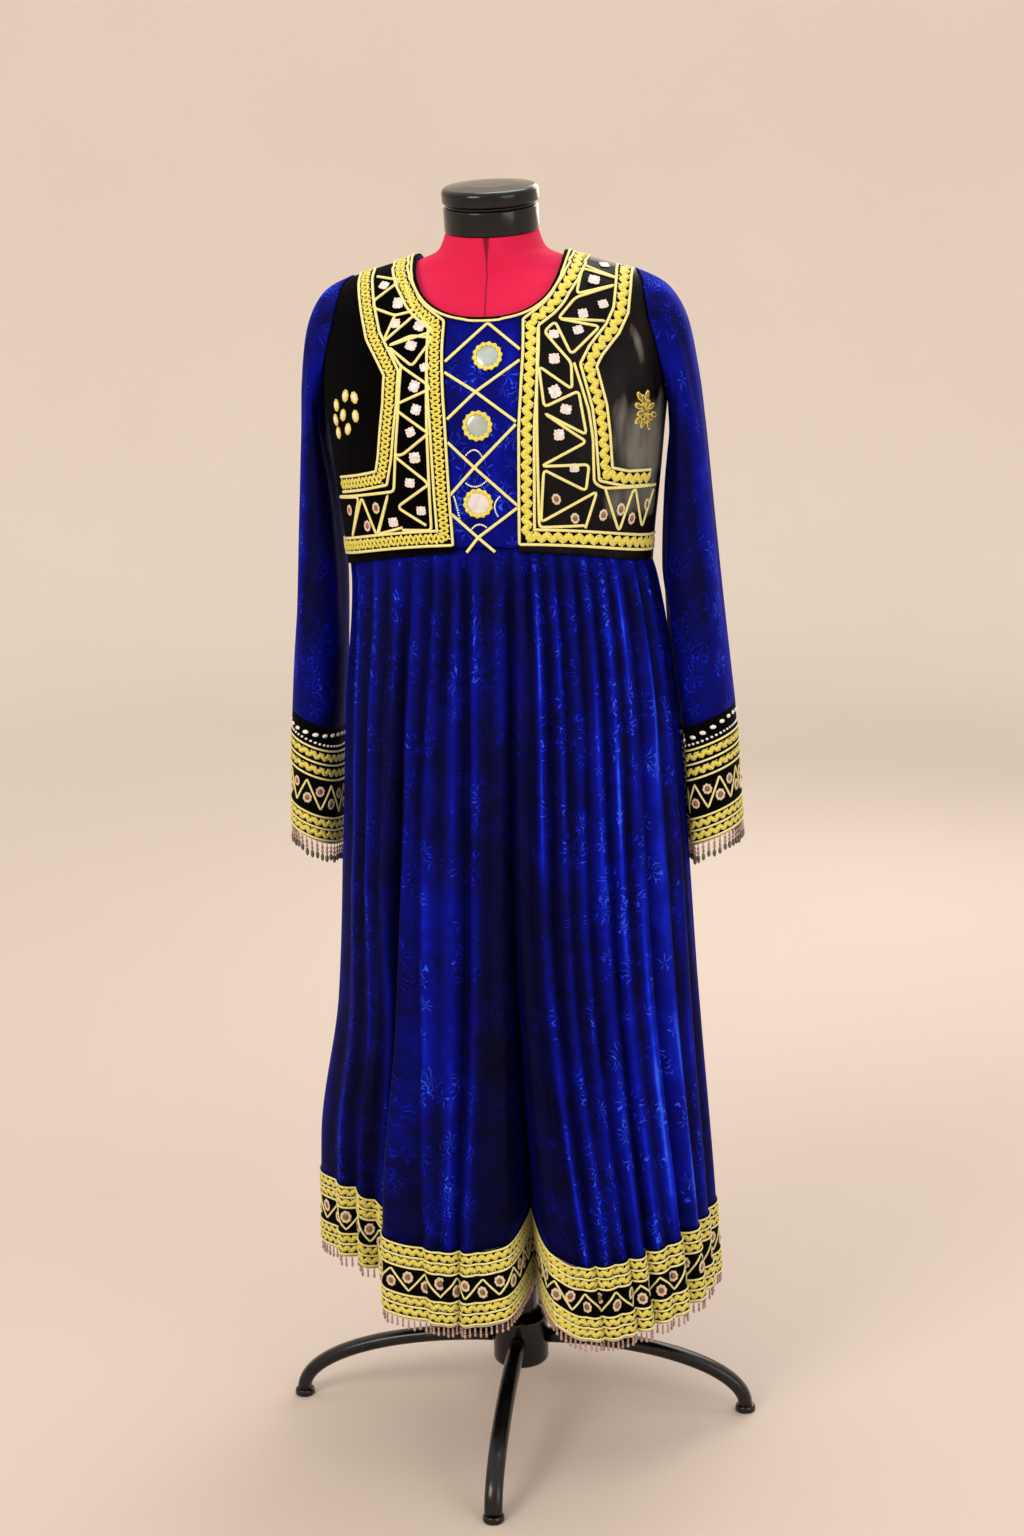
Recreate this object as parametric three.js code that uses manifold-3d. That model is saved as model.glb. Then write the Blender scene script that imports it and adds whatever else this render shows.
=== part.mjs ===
// A long Afghan dress of blue embossed velvet, worn by a limbless dress form on a pole stand.
// The dress is cloth walls: a high bodice under black vest fronts, two hanging sleeves with
// embroidered cuffs, a gathered skirt and an embroidered hem band. Braids, cords and mirrors are
// sewn on. Millimetres, +Z up, origin on the floor under the pole, the dress faces -Y.
// Left and right are the wearer's, so right is -X.
import * as THREE from "three";
import { mergeVertices } from "three/addons/utils/BufferGeometryUtils.js";
import Module from "manifold-3d";

const wasm = await Module();
wasm.setup();
const DEGREE = Math.PI / 180;

// Driving dimensions
const SEAM = 0.3; // gap between pieces that are sewn together
const VELVET = 1.8; // thickness of the blue velvet
const VEST_GAP = 0.6; // from the bodice to the back of the vest front
const VEST_CLOTH = 1.6;
const BRAID_BACK = 3.4; // from the bodice to the back of what is sewn on the vest
const BRAID_WIDTH = 21;
const BRAID_THICK = 1.4;
const CORD_WIDTH = 3.4;
const CORD_HEIGHT = 2.2;

const WAIST = 1118; // waist seam at the side seams and the back
const WAIST_RISE = 22; // how far the seam climbs to the centre front
const HEM_BAND_TOP = 300;
const HEM_BAND = 95;
const HEM = HEM_BAND_TOP - HEM_BAND;
const BAND_GAP = 0.75; // seam gap above the band, whose edge slants

const NECK_HALF = 87; // half width of the neckline at the shoulder seam
const NECK_TOP = 1474;
const NECK_DEPTH_FRONT = 74;
const NECK_DEPTH_BACK = 22;
const NECK_POWER = 2.4; // how square the scoop is
const BINDING = 5; // width of the edging round the neckline
const PLACKET_ANGLE = 9; // half of the bare blue centre front, as an angle on the bodice

const ARMHOLE = { y: 5, z: 1375, halfDepth: 53, halfHeight: 72 };
const SLEEVE_HEAD = 2.5; // how far the sleeve head lies outside the armhole's edge
const SLEEVE_STAND = 4.5; // how far the sleeve head stands off the bodice
const SLEEVE_CLOTH = 1.6;
const SLEEVE_CLEAR = 5; // least space between a sleeve and what it hangs beside
const SLEEVE_UNEVEN = 6; // the left sleeve hangs this much wider, the right this much narrower
const CUFF_RAISE = 1.5; // height of braid and cord on the cuffs and hem band

const STAND_REACH = 305;
const FOOT_RADIUS = 13;
const FOOT_HEIGHT = 8;
const POLE_RADIUS = 17.5;
const HUB_RADIUS = 36;
const HUB_BOTTOM = 62;
const HUB_TOP = 132;
const NECK_TILT = 11.5; // the neck ring leans forward by this angle
const NECK_RING_RADIUS = 56;

// Horizontal sections of the bodice: half width, depth before and behind the side seams, squareness
const BODICE = [
  { z: 1100, half: 182, front: 118, back: 94, power: 2.3 },
  { z: 1150, half: 186, front: 124, back: 97, power: 2.3 },
  { z: 1210, half: 193, front: 131, back: 102, power: 2.3 },
  { z: 1270, half: 199, front: 133, back: 107, power: 2.3 },
  { z: 1320, half: 204, front: 126, back: 110, power: 2.35 },
  { z: 1365, half: 205, front: 110, back: 108, power: 2.4 },
  { z: 1400, half: 201, front: 92, back: 100, power: 2.4 },
  { z: 1430, half: 190, front: 76, back: 86, power: 2.3 },
  { z: 1448, half: 170, front: 62, back: 72, power: 2.2 },
  { z: 1458, half: 140, front: 52, back: 58, power: 2.1 },
  { z: 1466, half: 112, front: 44, back: 50, power: 2.0 },
  { z: 1474, half: 87, front: 40, back: 44, power: 2.0 },
  { z: 1482, half: 70, front: 50, back: 50, power: 2.0 },
];

// Sections of the dress form; tilt slopes the top ones to meet the leaning neck ring
const FORM = [
  { z: 795, half: 156, front: 104, back: 88, power: 2.2, tilt: 0 },
  { z: 812, half: 162, front: 109, back: 91, power: 2.2, tilt: 0 },
  { z: 960, half: 164, front: 108, back: 88, power: 2.2, tilt: 0 },
  { z: 1118, half: 168, front: 106, back: 84, power: 2.3, tilt: 0 },
  { z: 1210, half: 184, front: 122, back: 94, power: 2.3, tilt: 0 },
  { z: 1270, half: 190, front: 125, back: 99, power: 2.3, tilt: 0 },
  { z: 1320, half: 195, front: 118, back: 102, power: 2.35, tilt: 0 },
  { z: 1365, half: 196, front: 102, back: 100, power: 2.4, tilt: 0 },
  { z: 1400, half: 191, front: 85, back: 91, power: 2.4, tilt: 0 },
  { z: 1430, half: 176, front: 68, back: 77, power: 2.3, tilt: 0 },
  { z: 1447, half: 157, front: 54, back: 63, power: 2.2, tilt: 0 },
  { z: 1457, half: 128, front: 48, back: 52, power: 2.1, tilt: 0 },
  { z: 1467, half: 94, front: 48, back: 50, power: 2.0, tilt: 0 },
  { z: 1480, half: 64, front: 53, back: 52, power: 2.0, tilt: 0.1 },
  { z: 1501, half: 54.5, front: 54.5, back: 54.5, power: 2.0, tilt: 0.2035 },
];

// Sections of the skirt over its ridges; right and left are the half widths on each side
const SKIRT = [
  { z: 205, right: 264, left: 262, front: 192, back: 172 },
  { z: 350, right: 258, left: 253, front: 186, back: 165 },
  { z: 552, right: 223, left: 238, front: 170, back: 145 },
  { z: 745, right: 206, left: 227, front: 155, back: 128 },
  { z: 940, right: 195, left: 214, front: 138, back: 112 },
  { z: 1095, right: 182, left: 190, front: 124, back: 100 },
  { z: 1118, right: 183, left: 183, front: 120, back: 96 },
];
const SKIRT_POWER = 2.3;

// Skirt folds, one row each, counter-clockwise from the right side seam round the front. The first
// three columns are the angle of the fold's bottom at the waist, at FOLD_MIDDLE and at the hem.
// gather, fold and deep are how far it is pushed in below the waist, at FOLD_MIDDLE and at the hem,
// ridge is how far the ridge after it is pushed in
// at the hem, and lift how much higher than HEM_BAND_TOP the band hangs there.
const FOLDS = [
  { waist: -160, mid: -156, hem: -158, gather: 5, fold: 8, deep: 30, ridge: 26, lift: 36 },
  { waist: -142, mid: -143, hem: -149, gather: 6, fold: 9, deep: 50, ridge: 42, lift: 32 },
  { waist: -130, mid: -133, hem: -140, gather: 6, fold: 6, deep: 66, ridge: 58, lift: 19 },
  { waist: -119, mid: -124, hem: -131, gather: 7, fold: 26, deep: 90, ridge: 0, lift: 6 },
  { waist: -109, mid: -114, hem: -107, gather: 7, fold: 9, deep: 6, ridge: 0, lift: -6 },
  { waist: -102, mid: -106, hem: -103, gather: 6, fold: 5, deep: 3, ridge: 1, lift: -8 },
  { waist: -96, mid: -97, hem: -99, gather: 8, fold: 13, deep: 13, ridge: 0, lift: -8 },
  { waist: -90, mid: -91, hem: -94.8, gather: 6, fold: 6, deep: 4, ridge: 0, lift: -6 },
  { waist: -84, mid: -86, hem: -84, gather: 8, fold: 26, deep: 124, ridge: 0, lift: 12 },
  { waist: -78, mid: -80, hem: -68.6, gather: 7, fold: 8, deep: 6, ridge: 2, lift: -26 },
  { waist: -73, mid: -74, hem: -64, gather: 6, fold: 12, deep: 10, ridge: 0, lift: -28 },
  { waist: -67, mid: -68, hem: -58, gather: 8, fold: 6, deep: 4, ridge: 1, lift: -26 },
  { waist: -60, mid: -62, hem: -53, gather: 6, fold: 9, deep: 12, ridge: 0, lift: -24 },
  { waist: -53, mid: -54, hem: -46, gather: 7, fold: 13, deep: 18, ridge: 2, lift: -21 },
  { waist: -45, mid: -46, hem: -38, gather: 6, fold: 6, deep: 7, ridge: 0, lift: -17 },
  { waist: -36, mid: -37, hem: -29, gather: 7, fold: 14, deep: 19, ridge: 0, lift: -12 },
  { waist: -25, mid: -24, hem: -18, gather: 6, fold: 8, deep: 12, ridge: 3, lift: -8 },
  { waist: -12, mid: -10, hem: -8, gather: 5, fold: 7, deep: 10, ridge: 0, lift: -6 },
  { waist: 5, mid: 6, hem: 5, gather: 5, fold: 9, deep: 16, ridge: 2, lift: -4 },
  { waist: 16, mid: 17, hem: 17, gather: 6, fold: 7, deep: 10, ridge: 0, lift: 0 },
  { waist: 27, mid: 28, hem: 30, gather: 7, fold: 15, deep: 34, ridge: 0, lift: 3 },
  { waist: 37, mid: 38, hem: 40, gather: 6, fold: 6, deep: 8, ridge: 1, lift: 0 },
  { waist: 47, mid: 49, hem: 51, gather: 8, fold: 12, deep: 20, ridge: 0, lift: -3 },
  { waist: 57, mid: 59, hem: 62, gather: 6, fold: 17, deep: 46, ridge: 0, lift: 2 },
  { waist: 67, mid: 68, hem: 72, gather: 7, fold: 6, deep: 6, ridge: 0, lift: -4 },
  { waist: 77, mid: 77, hem: 80, gather: 6, fold: 11, deep: 16, ridge: 1, lift: -6 },
  { waist: 87, mid: 86, hem: 87, gather: 8, fold: 7, deep: 8, ridge: 0, lift: -5 },
  { waist: 98, mid: 98, hem: 97, gather: 7, fold: 21, deep: 62, ridge: 0, lift: 5 },
  { waist: 109, mid: 110, hem: 108, gather: 6, fold: 8, deep: 9, ridge: 2, lift: 0 },
  { waist: 120, mid: 120, hem: 118, gather: 8, fold: 10, deep: 18, ridge: 0, lift: 4 },
  { waist: 131, mid: 130, hem: 129, gather: 6, fold: 15, deep: 32, ridge: 0, lift: 12 },
  { waist: 142, mid: 142, hem: 142, gather: 7, fold: 7, deep: 10, ridge: 3, lift: 18 },
  { waist: 153, mid: 154, hem: 155, gather: 6, fold: 12, deep: 22, ridge: 2, lift: 26 },
  { waist: 165, mid: 168, hem: 170, gather: 5, fold: 8, deep: 16, ridge: 10, lift: 32 },
];
const FRONT_FOLDS = 18;
const FOLD_COLUMNS = 4; // points on a ring for each fold
const FOLD_MIDDLE = 725; // height where the columns mid and fold hold
const GATHERS = 1085; // height where the column gather holds
const SKIRT_ROWS = [WAIST, 1098, 1045, 900, 620, HEM_BAND_TOP];

// Sleeve rings: the outermost and the innermost point, the depth about y, mean of the two sleeves
const SLEEVE = [
  { outX: 203, outZ: 1436, inX: 206, inZ: 1288, y: 7, depth: 58 },
  { outX: 226, outZ: 1398, inX: 206, inZ: 1262, y: 10, depth: 62 },
  { outX: 238, outZ: 1330, inX: 203, inZ: 1236, y: 12, depth: 64 },
  { outX: 245, outZ: 1262, inX: 199, inZ: 1196, y: 14, depth: 65 },
  { outX: 255, outZ: 1150, inX: 195, inZ: 1104, y: 18, depth: 65 },
  { outX: 265, outZ: 1040, inX: 199, inZ: 1004, y: 24, depth: 64 },
  { outX: 276, outZ: 932, inX: 208, inZ: 902, y: 32, depth: 62 },
];
const CUFF_END = { outX: 284, outZ: 784, inX: 214, inZ: 754, y: 38, depth: 60 };
const SLEEVE_POWER = 2.2;
const SLEEVE_POINTS = 20;
const CUFF_STRANDS = 15;
const HEM_STRANDS = 60;
const STRIP_HEIGHT = 3;
const CUFF_STRIP_GAP = 0.8; // from a cloth edge to the strip that its fringe hangs from
const HEM_STRIP_GAP = 1.3;
const CUFF_FRINGE = 19;
const HEM_FRINGE = 15;

// Height of the cuff's outer face along its length: bare black, braids, bare zigzag, braids
const CUFF_RELIEF = [
  { at: 0, up: 0 },
  { at: 0.17, up: 0 },
  { at: 0.19, up: 1 },
  { at: 0.46, up: 1 },
  { at: 0.48, up: 0 },
  { at: 0.75, up: 0 },
  { at: 0.77, up: 1 },
  { at: 1, up: 1 },
];
const BAND_RELIEF = [
  { at: 0, up: 1 },
  { at: 0.32, up: 1 },
  { at: 0.345, up: 0 },
  { at: 0.655, up: 0 },
  { at: 0.68, up: 1 },
  { at: 1, up: 1 },
];

// The outer braid of each vest front: from the shoulder, in under the bust and out to the side
const OUTER_BRAID = [
  { rightX: -146, rightZ: 1455, leftX: 157, leftZ: 1452 },
  { rightX: -144, rightZ: 1440, leftX: 157, leftZ: 1434 },
  { rightX: -138, rightZ: 1412, leftX: 155, leftZ: 1404 },
  { rightX: -130, rightZ: 1382, leftX: 146, leftZ: 1383 },
  { rightX: -116, rightZ: 1358, leftX: 128, leftZ: 1360 },
  { rightX: -106, rightZ: 1340, leftX: 120, leftZ: 1344 },
  { rightX: -108, rightZ: 1305, leftX: 125, leftZ: 1326 },
  { rightX: -112, rightZ: 1275, leftX: 132, leftZ: 1298 },
  { rightX: -116, rightZ: 1244, leftX: 135, leftZ: 1268 },
  { rightX: -121, rightZ: 1221, leftX: 137, leftZ: 1221 },
  { rightX: -150, rightZ: 1215, leftX: 160, leftZ: 1214 },
  { rightX: -176, rightZ: 1211, leftX: 183, leftZ: 1213 },
];

// Corners of the zigzag cord on each vest front, and of the two cords laced over the placket
const ZIGZAG_RIGHT = [
  { x: -127, z: 1443 },
  { x: -110, z: 1438 },
  { x: -124, z: 1417 },
  { x: -92, z: 1407 },
  { x: -113, z: 1375 },
  { x: -71, z: 1378 },
  { x: -90, z: 1349 },
  { x: -66, z: 1326 },
  { x: -92, z: 1302 },
  { x: -66, z: 1275 },
  { x: -96, z: 1248 },
  { x: -67, z: 1217 },
  { x: -100, z: 1190 },
  { x: -68, z: 1170 },
];
const ZIGZAG_LEFT = [
  { x: 121, z: 1449 },
  { x: 141, z: 1437 },
  { x: 112, z: 1421 },
  { x: 134, z: 1399 },
  { x: 92, z: 1397 },
  { x: 122, z: 1377 },
  { x: 101, z: 1352 },
  { x: 73, z: 1379 },
  { x: 69, z: 1346 },
  { x: 102, z: 1320 },
  { x: 71, z: 1298 },
  { x: 115, z: 1267 },
  { x: 68, z: 1240 },
  { x: 118, z: 1236 },
  { x: 114, z: 1205 },
  { x: 76, z: 1224 },
  { x: 68, z: 1172 },
  { x: 121, z: 1196 },
  { x: 112, z: 1168 },
];
const LACE_ONE = [
  { x: -33, z: 1355 },
  { x: 4, z: 1391 },
  { x: 34, z: 1366 },
  { x: 34, z: 1352 },
  { x: -7, z: 1318 },
  { x: -34, z: 1288 },
  { x: -34, z: 1262 },
  { x: -10, z: 1233 },
  { x: 30, z: 1189 },
  { x: -9, z: 1155 },
  { x: -20, z: 1146 },
];
const LACE_TWO = [
  { x: -33, z: 1340 },
  { x: -7, z: 1318 },
  { x: 34, z: 1284 },
  { x: -10, z: 1233 },
  { x: -34, z: 1204 },
  { x: -34, z: 1178 },
  { x: -9, z: 1155 },
  { x: 4, z: 1146 },
];
const MIRRORS = [
  { x: 6, z: 1357 },
  { x: -5, z: 1280 },
  { x: -7, z: 1192 },
];
const MIRROR_RING = 17;
const MIRROR_GLASS = 12.5;

const finishes = {
  velvet: { color: 0x0a0f8c, roughness: 0.75, metalness: 0 },
  black_velvet: { color: 0x0b090b, roughness: 0.7, metalness: 0 },
  black_satin: { color: 0x161215, roughness: 0.4, metalness: 0 },
  gold_braid: { color: 0xd8cf58, roughness: 0.6, metalness: 0 },
  cream_cord: { color: 0xe6dfa6, roughness: 0.7, metalness: 0 },
  mirror: { color: 0xc3cfd6, roughness: 0.1, metalness: 1 },
  beads: { color: 0x8d7a72, roughness: 0.3, metalness: 0.2 },
  crimson: { color: 0xc22a4c, roughness: 0.8, metalness: 0 },
  black_plastic: { color: 0x08090b, roughness: 0.25, metalness: 0 },
  black_steel: { color: 0x0c0c0d, roughness: 0.4, metalness: 0.6 },
};

const dress = new THREE.Group();

function add(name, geometry, finish) {
  const mesh = new THREE.Mesh(geometry, new THREE.MeshStandardMaterial(finishes[finish]));
  mesh.name = name;
  dress.add(mesh);
  return mesh;
}

// A column of a table at a height between its rows, on a smooth curve that never overshoots
function read(rows, key, at, by = "z") {
  const last = rows.length - 1;
  const here = Math.min(Math.max(at, rows[0][by]), rows[last][by]);
  let low = 0;
  while (low < last - 1 && here > rows[low + 1][by]) {
    low += 1;
  }
  const slope = (k) => (rows[k + 1][key] - rows[k][key]) / (rows[k + 1][by] - rows[k][by]);
  const tangent = (k) => {
    if (k === 0) return slope(0);
    if (k === last) return slope(last - 1);
    const before = slope(k - 1);
    const after = slope(k);
    return before * after <= 0 ? 0 : (2 * before * after) / (before + after);
  };
  const step = rows[low + 1][by] - rows[low][by];
  const t = (here - rows[low][by]) / step;
  const rise = t * t * (3 - 2 * t);
  return (
    rows[low][key] * (1 - rise) +
    rows[low + 1][key] * rise +
    step * t * (1 - t) * ((1 - t) * tangent(low) - t * tangent(low + 1))
  );
}

function mix(a, b, t) {
  return a + (b - a) * t;
}

function rounded(value, power) {
  return Math.sign(value) * Math.abs(value) ** (2 / power);
}

// Solids from vertices and triangles, with the faces turned outwards
function body(vertices, triangles) {
  let volume = 0;
  for (const [a, b, c] of triangles) {
    volume += vertices[a].dot(vertices[b].clone().cross(vertices[c]));
  }
  const index = triangles.flatMap(([a, b, c]) => (volume > 0 ? [a, b, c] : [a, c, b]));
  const geometry = new THREE.BufferGeometry();
  const numbers = vertices.flatMap((v) => [v.x, v.y, v.z]);
  geometry.setAttribute("position", new THREE.Float32BufferAttribute(numbers, 3));
  geometry.setIndex(index);
  return geometry;
}

// A cloth wall between an outer and an inner grid of points; closed walls run all round
function wall(outer, inner, closed) {
  const rows = outer.length;
  const points = outer[0].length;
  const innerRows = inner.length;
  const columns = closed ? points : points - 1;
  const vertices = [...outer.flat(), ...inner.flat()];
  const out = (r, c) => r * points + (c % points);
  const back = (r, c) => rows * points + r * points + (c % points);
  const triangles = [];
  const quad = (a, b, c, d) => triangles.push([a, b, c], [a, c, d]);
  for (let c = 0; c < columns; c += 1) {
    for (let r = 0; r < rows - 1; r += 1) {
      quad(out(r, c), out(r, c + 1), out(r + 1, c + 1), out(r + 1, c));
    }
    for (let r = 0; r < innerRows - 1; r += 1) {
      quad(back(r, c), back(r + 1, c), back(r + 1, c + 1), back(r, c + 1));
    }
    quad(out(0, c), back(0, c), back(0, c + 1), out(0, c + 1));
    quad(out(rows - 1, c), out(rows - 1, c + 1), back(innerRows - 1, c + 1), back(innerRows - 1, c));
  }
  if (!closed) {
    for (let r = 0; r < rows - 1; r += 1) {
      quad(out(r, 0), out(r + 1, 0), back(r + 1, 0), back(r, 0));
      quad(out(r, columns), back(r, columns), back(r + 1, columns), out(r + 1, columns));
    }
  }
  return body(vertices, triangles);
}

// A solid bar through rings of points, with flat ends
function loft(rings) {
  const sides = rings[0].length;
  const vertices = rings.flat();
  const at = (r, k) => r * sides + (k % sides);
  const triangles = [];
  for (let r = 0; r < rings.length - 1; r += 1) {
    for (let k = 0; k < sides; k += 1) {
      triangles.push([at(r, k), at(r, k + 1), at(r + 1, k + 1)]);
      triangles.push([at(r, k), at(r + 1, k + 1), at(r + 1, k)]);
    }
  }
  for (let k = 1; k < sides - 1; k += 1) {
    triangles.push([at(0, 0), at(0, k + 1), at(0, k)]);
    triangles.push([at(rings.length - 1, 0), at(rings.length - 1, k), at(rings.length - 1, k + 1)]);
  }
  return body(vertices, triangles);
}

function normals(grid, closed) {
  const rows = grid.length;
  const points = grid[0].length;
  return grid.map((row, r) =>
    row.map((_, c) => {
      const before = closed ? (c + points - 1) % points : Math.max(c - 1, 0);
      const after = closed ? (c + 1) % points : Math.min(c + 1, points - 1);
      const across = row[after].clone().sub(row[before]);
      const up = grid[Math.min(r + 1, rows - 1)][c].clone().sub(grid[Math.max(r - 1, 0)][c]);
      return across.cross(up).normalize();
    }),
  );
}

// Level directions straight out of a ring of points that runs counter-clockwise
function levelNormals(ring) {
  return ring.map((_, k) => {
    const way = ring[(k + 1) % ring.length].clone().sub(ring[(k + ring.length - 1) % ring.length]);
    return new THREE.Vector3(way.y, -way.x, 0).normalize();
  });
}

function moved(grid, directions, distance) {
  return grid.map((row, r) =>
    row.map((point, c) => point.clone().addScaledVector(directions[r][c], distance)),
  );
}

function asManifold(geometry) {
  const bare = geometry.clone();
  bare.deleteAttribute("normal");
  bare.deleteAttribute("uv");
  const merged = mergeVertices(bare, 1e-4);
  return new wasm.Manifold(
    new wasm.Mesh({
      numProp: 3,
      vertProperties: new Float32Array(merged.attributes.position.array),
      triVerts: new Uint32Array(merged.index.array),
    }),
  );
}

function fromManifold(solid) {
  const mesh = solid.getMesh();
  const geometry = new THREE.BufferGeometry();
  geometry.setAttribute("position", new THREE.Float32BufferAttribute(mesh.vertProperties, 3));
  geometry.setIndex([...mesh.triVerts]);
  return geometry;
}

// The bodice's surface
function bodicePoint(angle, z) {
  const power = read(BODICE, "power", z);
  const depth = Math.sin(angle) < 0 ? read(BODICE, "front", z) : read(BODICE, "back", z);
  const half = read(BODICE, "half", z);
  return new THREE.Vector3(half * rounded(Math.cos(angle), power), depth * rounded(Math.sin(angle), power), z);
}

function bodiceNormal(angle, z) {
  const turn = 0.02;
  const across = bodicePoint(angle + turn, z).sub(bodicePoint(angle - turn, z));
  const up = bodicePoint(angle, z + 1).sub(bodicePoint(angle, z - 1));
  return across.cross(up).normalize();
}

function bodiceAngle(point) {
  const power = read(BODICE, "power", point.z);
  const half = read(BODICE, "half", point.z);
  const depth = read(BODICE, point.y < 0 ? "front" : "back", point.z);
  const along = Math.sign(point.x) * Math.abs(point.x / half) ** (power / 2);
  const deep = Math.sign(point.y) * Math.abs(point.y / depth) ** (power / 2);
  return Math.atan2(deep, along);
}

function lifted(point, height) {
  const angle = bodiceAngle(point);
  return bodicePoint(angle, point.z).addScaledVector(bodiceNormal(angle, point.z), height);
}

function onFront({ x, z }) {
  const power = read(BODICE, "power", z);
  const ratio = Math.min(Math.abs(x) / read(BODICE, "half", z), 0.9999);
  return new THREE.Vector3(x, -read(BODICE, "front", z) * (1 - ratio ** power) ** (1 / power), z);
}

function waistHeight(angle) {
  return WAIST + WAIST_RISE * Math.max(0, -Math.sin(angle)) ** 2;
}

// The height where the neckline crosses a vertical line of the bodice
function necklineHeight(angle) {
  const depth = Math.sin(angle) < 0 ? NECK_DEPTH_FRONT : NECK_DEPTH_BACK;
  let low = NECK_TOP - depth;
  let high = NECK_TOP;
  for (let k = 0; k < 40; k += 1) {
    const z = (low + high) / 2;
    const half = NECK_HALF * (1 - ((NECK_TOP - z) / depth) ** NECK_POWER) ** (1 / NECK_POWER);
    if (Math.abs(bodicePoint(angle, z).x) > half) {
      low = z;
    } else {
      high = z;
    }
  }
  return (low + high) / 2;
}

// Heights along one vertical line of the bodice, at distances measured on the cloth
function bodiceLine(angle) {
  const bottom = waistHeight(angle);
  const top = necklineHeight(angle);
  const samples = 80;
  const stops = [{ length: 0, z: bottom }];
  let previous = bodicePoint(angle, bottom);
  for (let k = 1; k <= samples; k += 1) {
    const z = mix(bottom, top, k / samples);
    const point = bodicePoint(angle, z);
    stops.push({ length: stops[k - 1].length + point.distanceTo(previous), z });
    previous = point;
  }
  const whole = stops[samples].length;
  return { whole, at: (length) => read(stops, "z", length, "length") };
}

const BODICE_ROWS = 10;
const ROW_CROWDING = 1.3; // rows lie closer together towards the shoulder

// Grid of points and outward normals on the bodice; trims shorten its two ends along the cloth
function bodiceGrid(angles, trimBottom = 0, trimTop = 0) {
  const lines = angles.map(bodiceLine);
  const points = [];
  const directions = [];
  for (let r = 0; r <= BODICE_ROWS; r += 1) {
    const heights = lines.map((line) => {
      const length = line.whole * (1 - (1 - r / BODICE_ROWS) ** ROW_CROWDING);
      return line.at(Math.min(Math.max(length, trimBottom), line.whole - trimTop));
    });
    points.push(heights.map((z, c) => bodicePoint(angles[c], z)));
    directions.push(heights.map((z, c) => bodiceNormal(angles[c], z)));
  }
  return { points, directions };
}

function steps(from, to, count) {
  return Array.from({ length: count + 1 }, (_, k) => mix(from, to, k / count) * DEGREE);
}

// Keeps the cloth of the front before the side seam, and that of the back behind it
function seamed(grid, side) {
  const edge = SEAM / 2;
  const kept = (y) => (side < 0 ? Math.min(y, -edge) : Math.max(y, edge));
  return grid.map((row) => row.map((p) => new THREE.Vector3(p.x, kept(p.y), p.z)));
}

function armholeCutter(side) {
  const oval = new THREE.Shape();
  oval.absellipse(0, 0, ARMHOLE.halfDepth, ARMHOLE.halfHeight, 0, 2 * Math.PI);
  const start = 130;
  const reach = 120;
  const cutter = new THREE.ExtrudeGeometry(oval, { depth: reach, bevelEnabled: false, curveSegments: 20 });
  cutter.applyMatrix4(new THREE.Matrix4().set(0, 0, 1, 0, 1, 0, 0, 0, 0, 1, 0, 0, 0, 0, 0, 1));
  cutter.translate(side > 0 ? start : -start - reach, ARMHOLE.y, ARMHOLE.z);
  return asManifold(cutter);
}

const armholes = { right: armholeCutter(-1), left: armholeCutter(1) };

function bodicePanel(name, angles, side) {
  const { points, directions } = bodiceGrid(angles);
  const outer = seamed(points, side);
  const inner = seamed(moved(points, directions, -VELVET), side);
  const cut = asManifold(wall(outer, inner, false)).subtract(armholes.right).subtract(armholes.left);
  add(name, fromManifold(cut), "velvet");
}

function vestPanel(name, angles, armhole, finish) {
  const { points, directions } = bodiceGrid(angles, 1.5, BINDING + 1.4);
  const outer = seamed(moved(points, directions, VEST_GAP + VEST_CLOTH), -1);
  const inner = seamed(moved(points, directions, VEST_GAP), -1);
  add(name, fromManifold(asManifold(wall(outer, inner, false)).subtract(armhole)), finish);
}

function makeBodice() {
  const placket = PLACKET_ANGLE;
  const rightAngles = steps(-180, -90 - placket, 10);
  const leftAngles = steps(-90 + placket, 0, 10);
  const middle = steps(-90 - placket, -90 + placket, 3).slice(1, -1);
  bodicePanel("bodice_front", [...rightAngles, ...middle, ...leftAngles], -1);
  bodicePanel("bodice_back", steps(0, 180, 16), 1);
  vestPanel("vest_front_right", rightAngles, armholes.right, "black_velvet");
  vestPanel("vest_front_left", leftAngles, armholes.left, "black_satin");
}

const MITRE_LIMIT = 0.6; // least cosine of half the turn that a corner is widened for

// What is sewn on: a section carried along a path, its corners mitred
function sewn(path, section) {
  const last = path.length - 1;
  const rings = path.map((point, k) => {
    const angle = bodiceAngle(point);
    const normal = bodiceNormal(angle, point.z);
    const before = point.clone().sub(path[Math.max(k - 1, 0)]);
    const after = path[Math.min(k + 1, last)].clone().sub(point);
    const ways = [before, after].filter((way) => way.length() > 0);
    const sides = ways.map((way) => normal.clone().cross(way).normalize());
    const side = sides.reduce((sum, way) => sum.add(way), new THREE.Vector3()).normalize();
    const widen = 1 / Math.max(side.dot(sides[0]), MITRE_LIMIT);
    return section.map(({ across, up }) => lifted(point.clone().addScaledVector(side, across * widen), up));
  });
  return loft(rings);
}

// Points along straight stretches no longer than a step, with each corner cut off
function stretched(corners, step, cut) {
  const path = [corners[0]];
  for (let k = 1; k < corners.length; k += 1) {
    const from = corners[k - 1];
    const to = corners[k];
    const length = from.distanceTo(to);
    const start = k === 1 ? 0 : cut / length;
    const end = k === corners.length - 1 ? 1 : 1 - cut / length;
    const count = Math.max(1, Math.ceil(((end - start) * length) / step));
    for (let n = k === 1 ? 1 : 0; n <= count; n += 1) {
      path.push(from.clone().lerp(to, mix(start, end, n / count)));
    }
  }
  return path;
}

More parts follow.
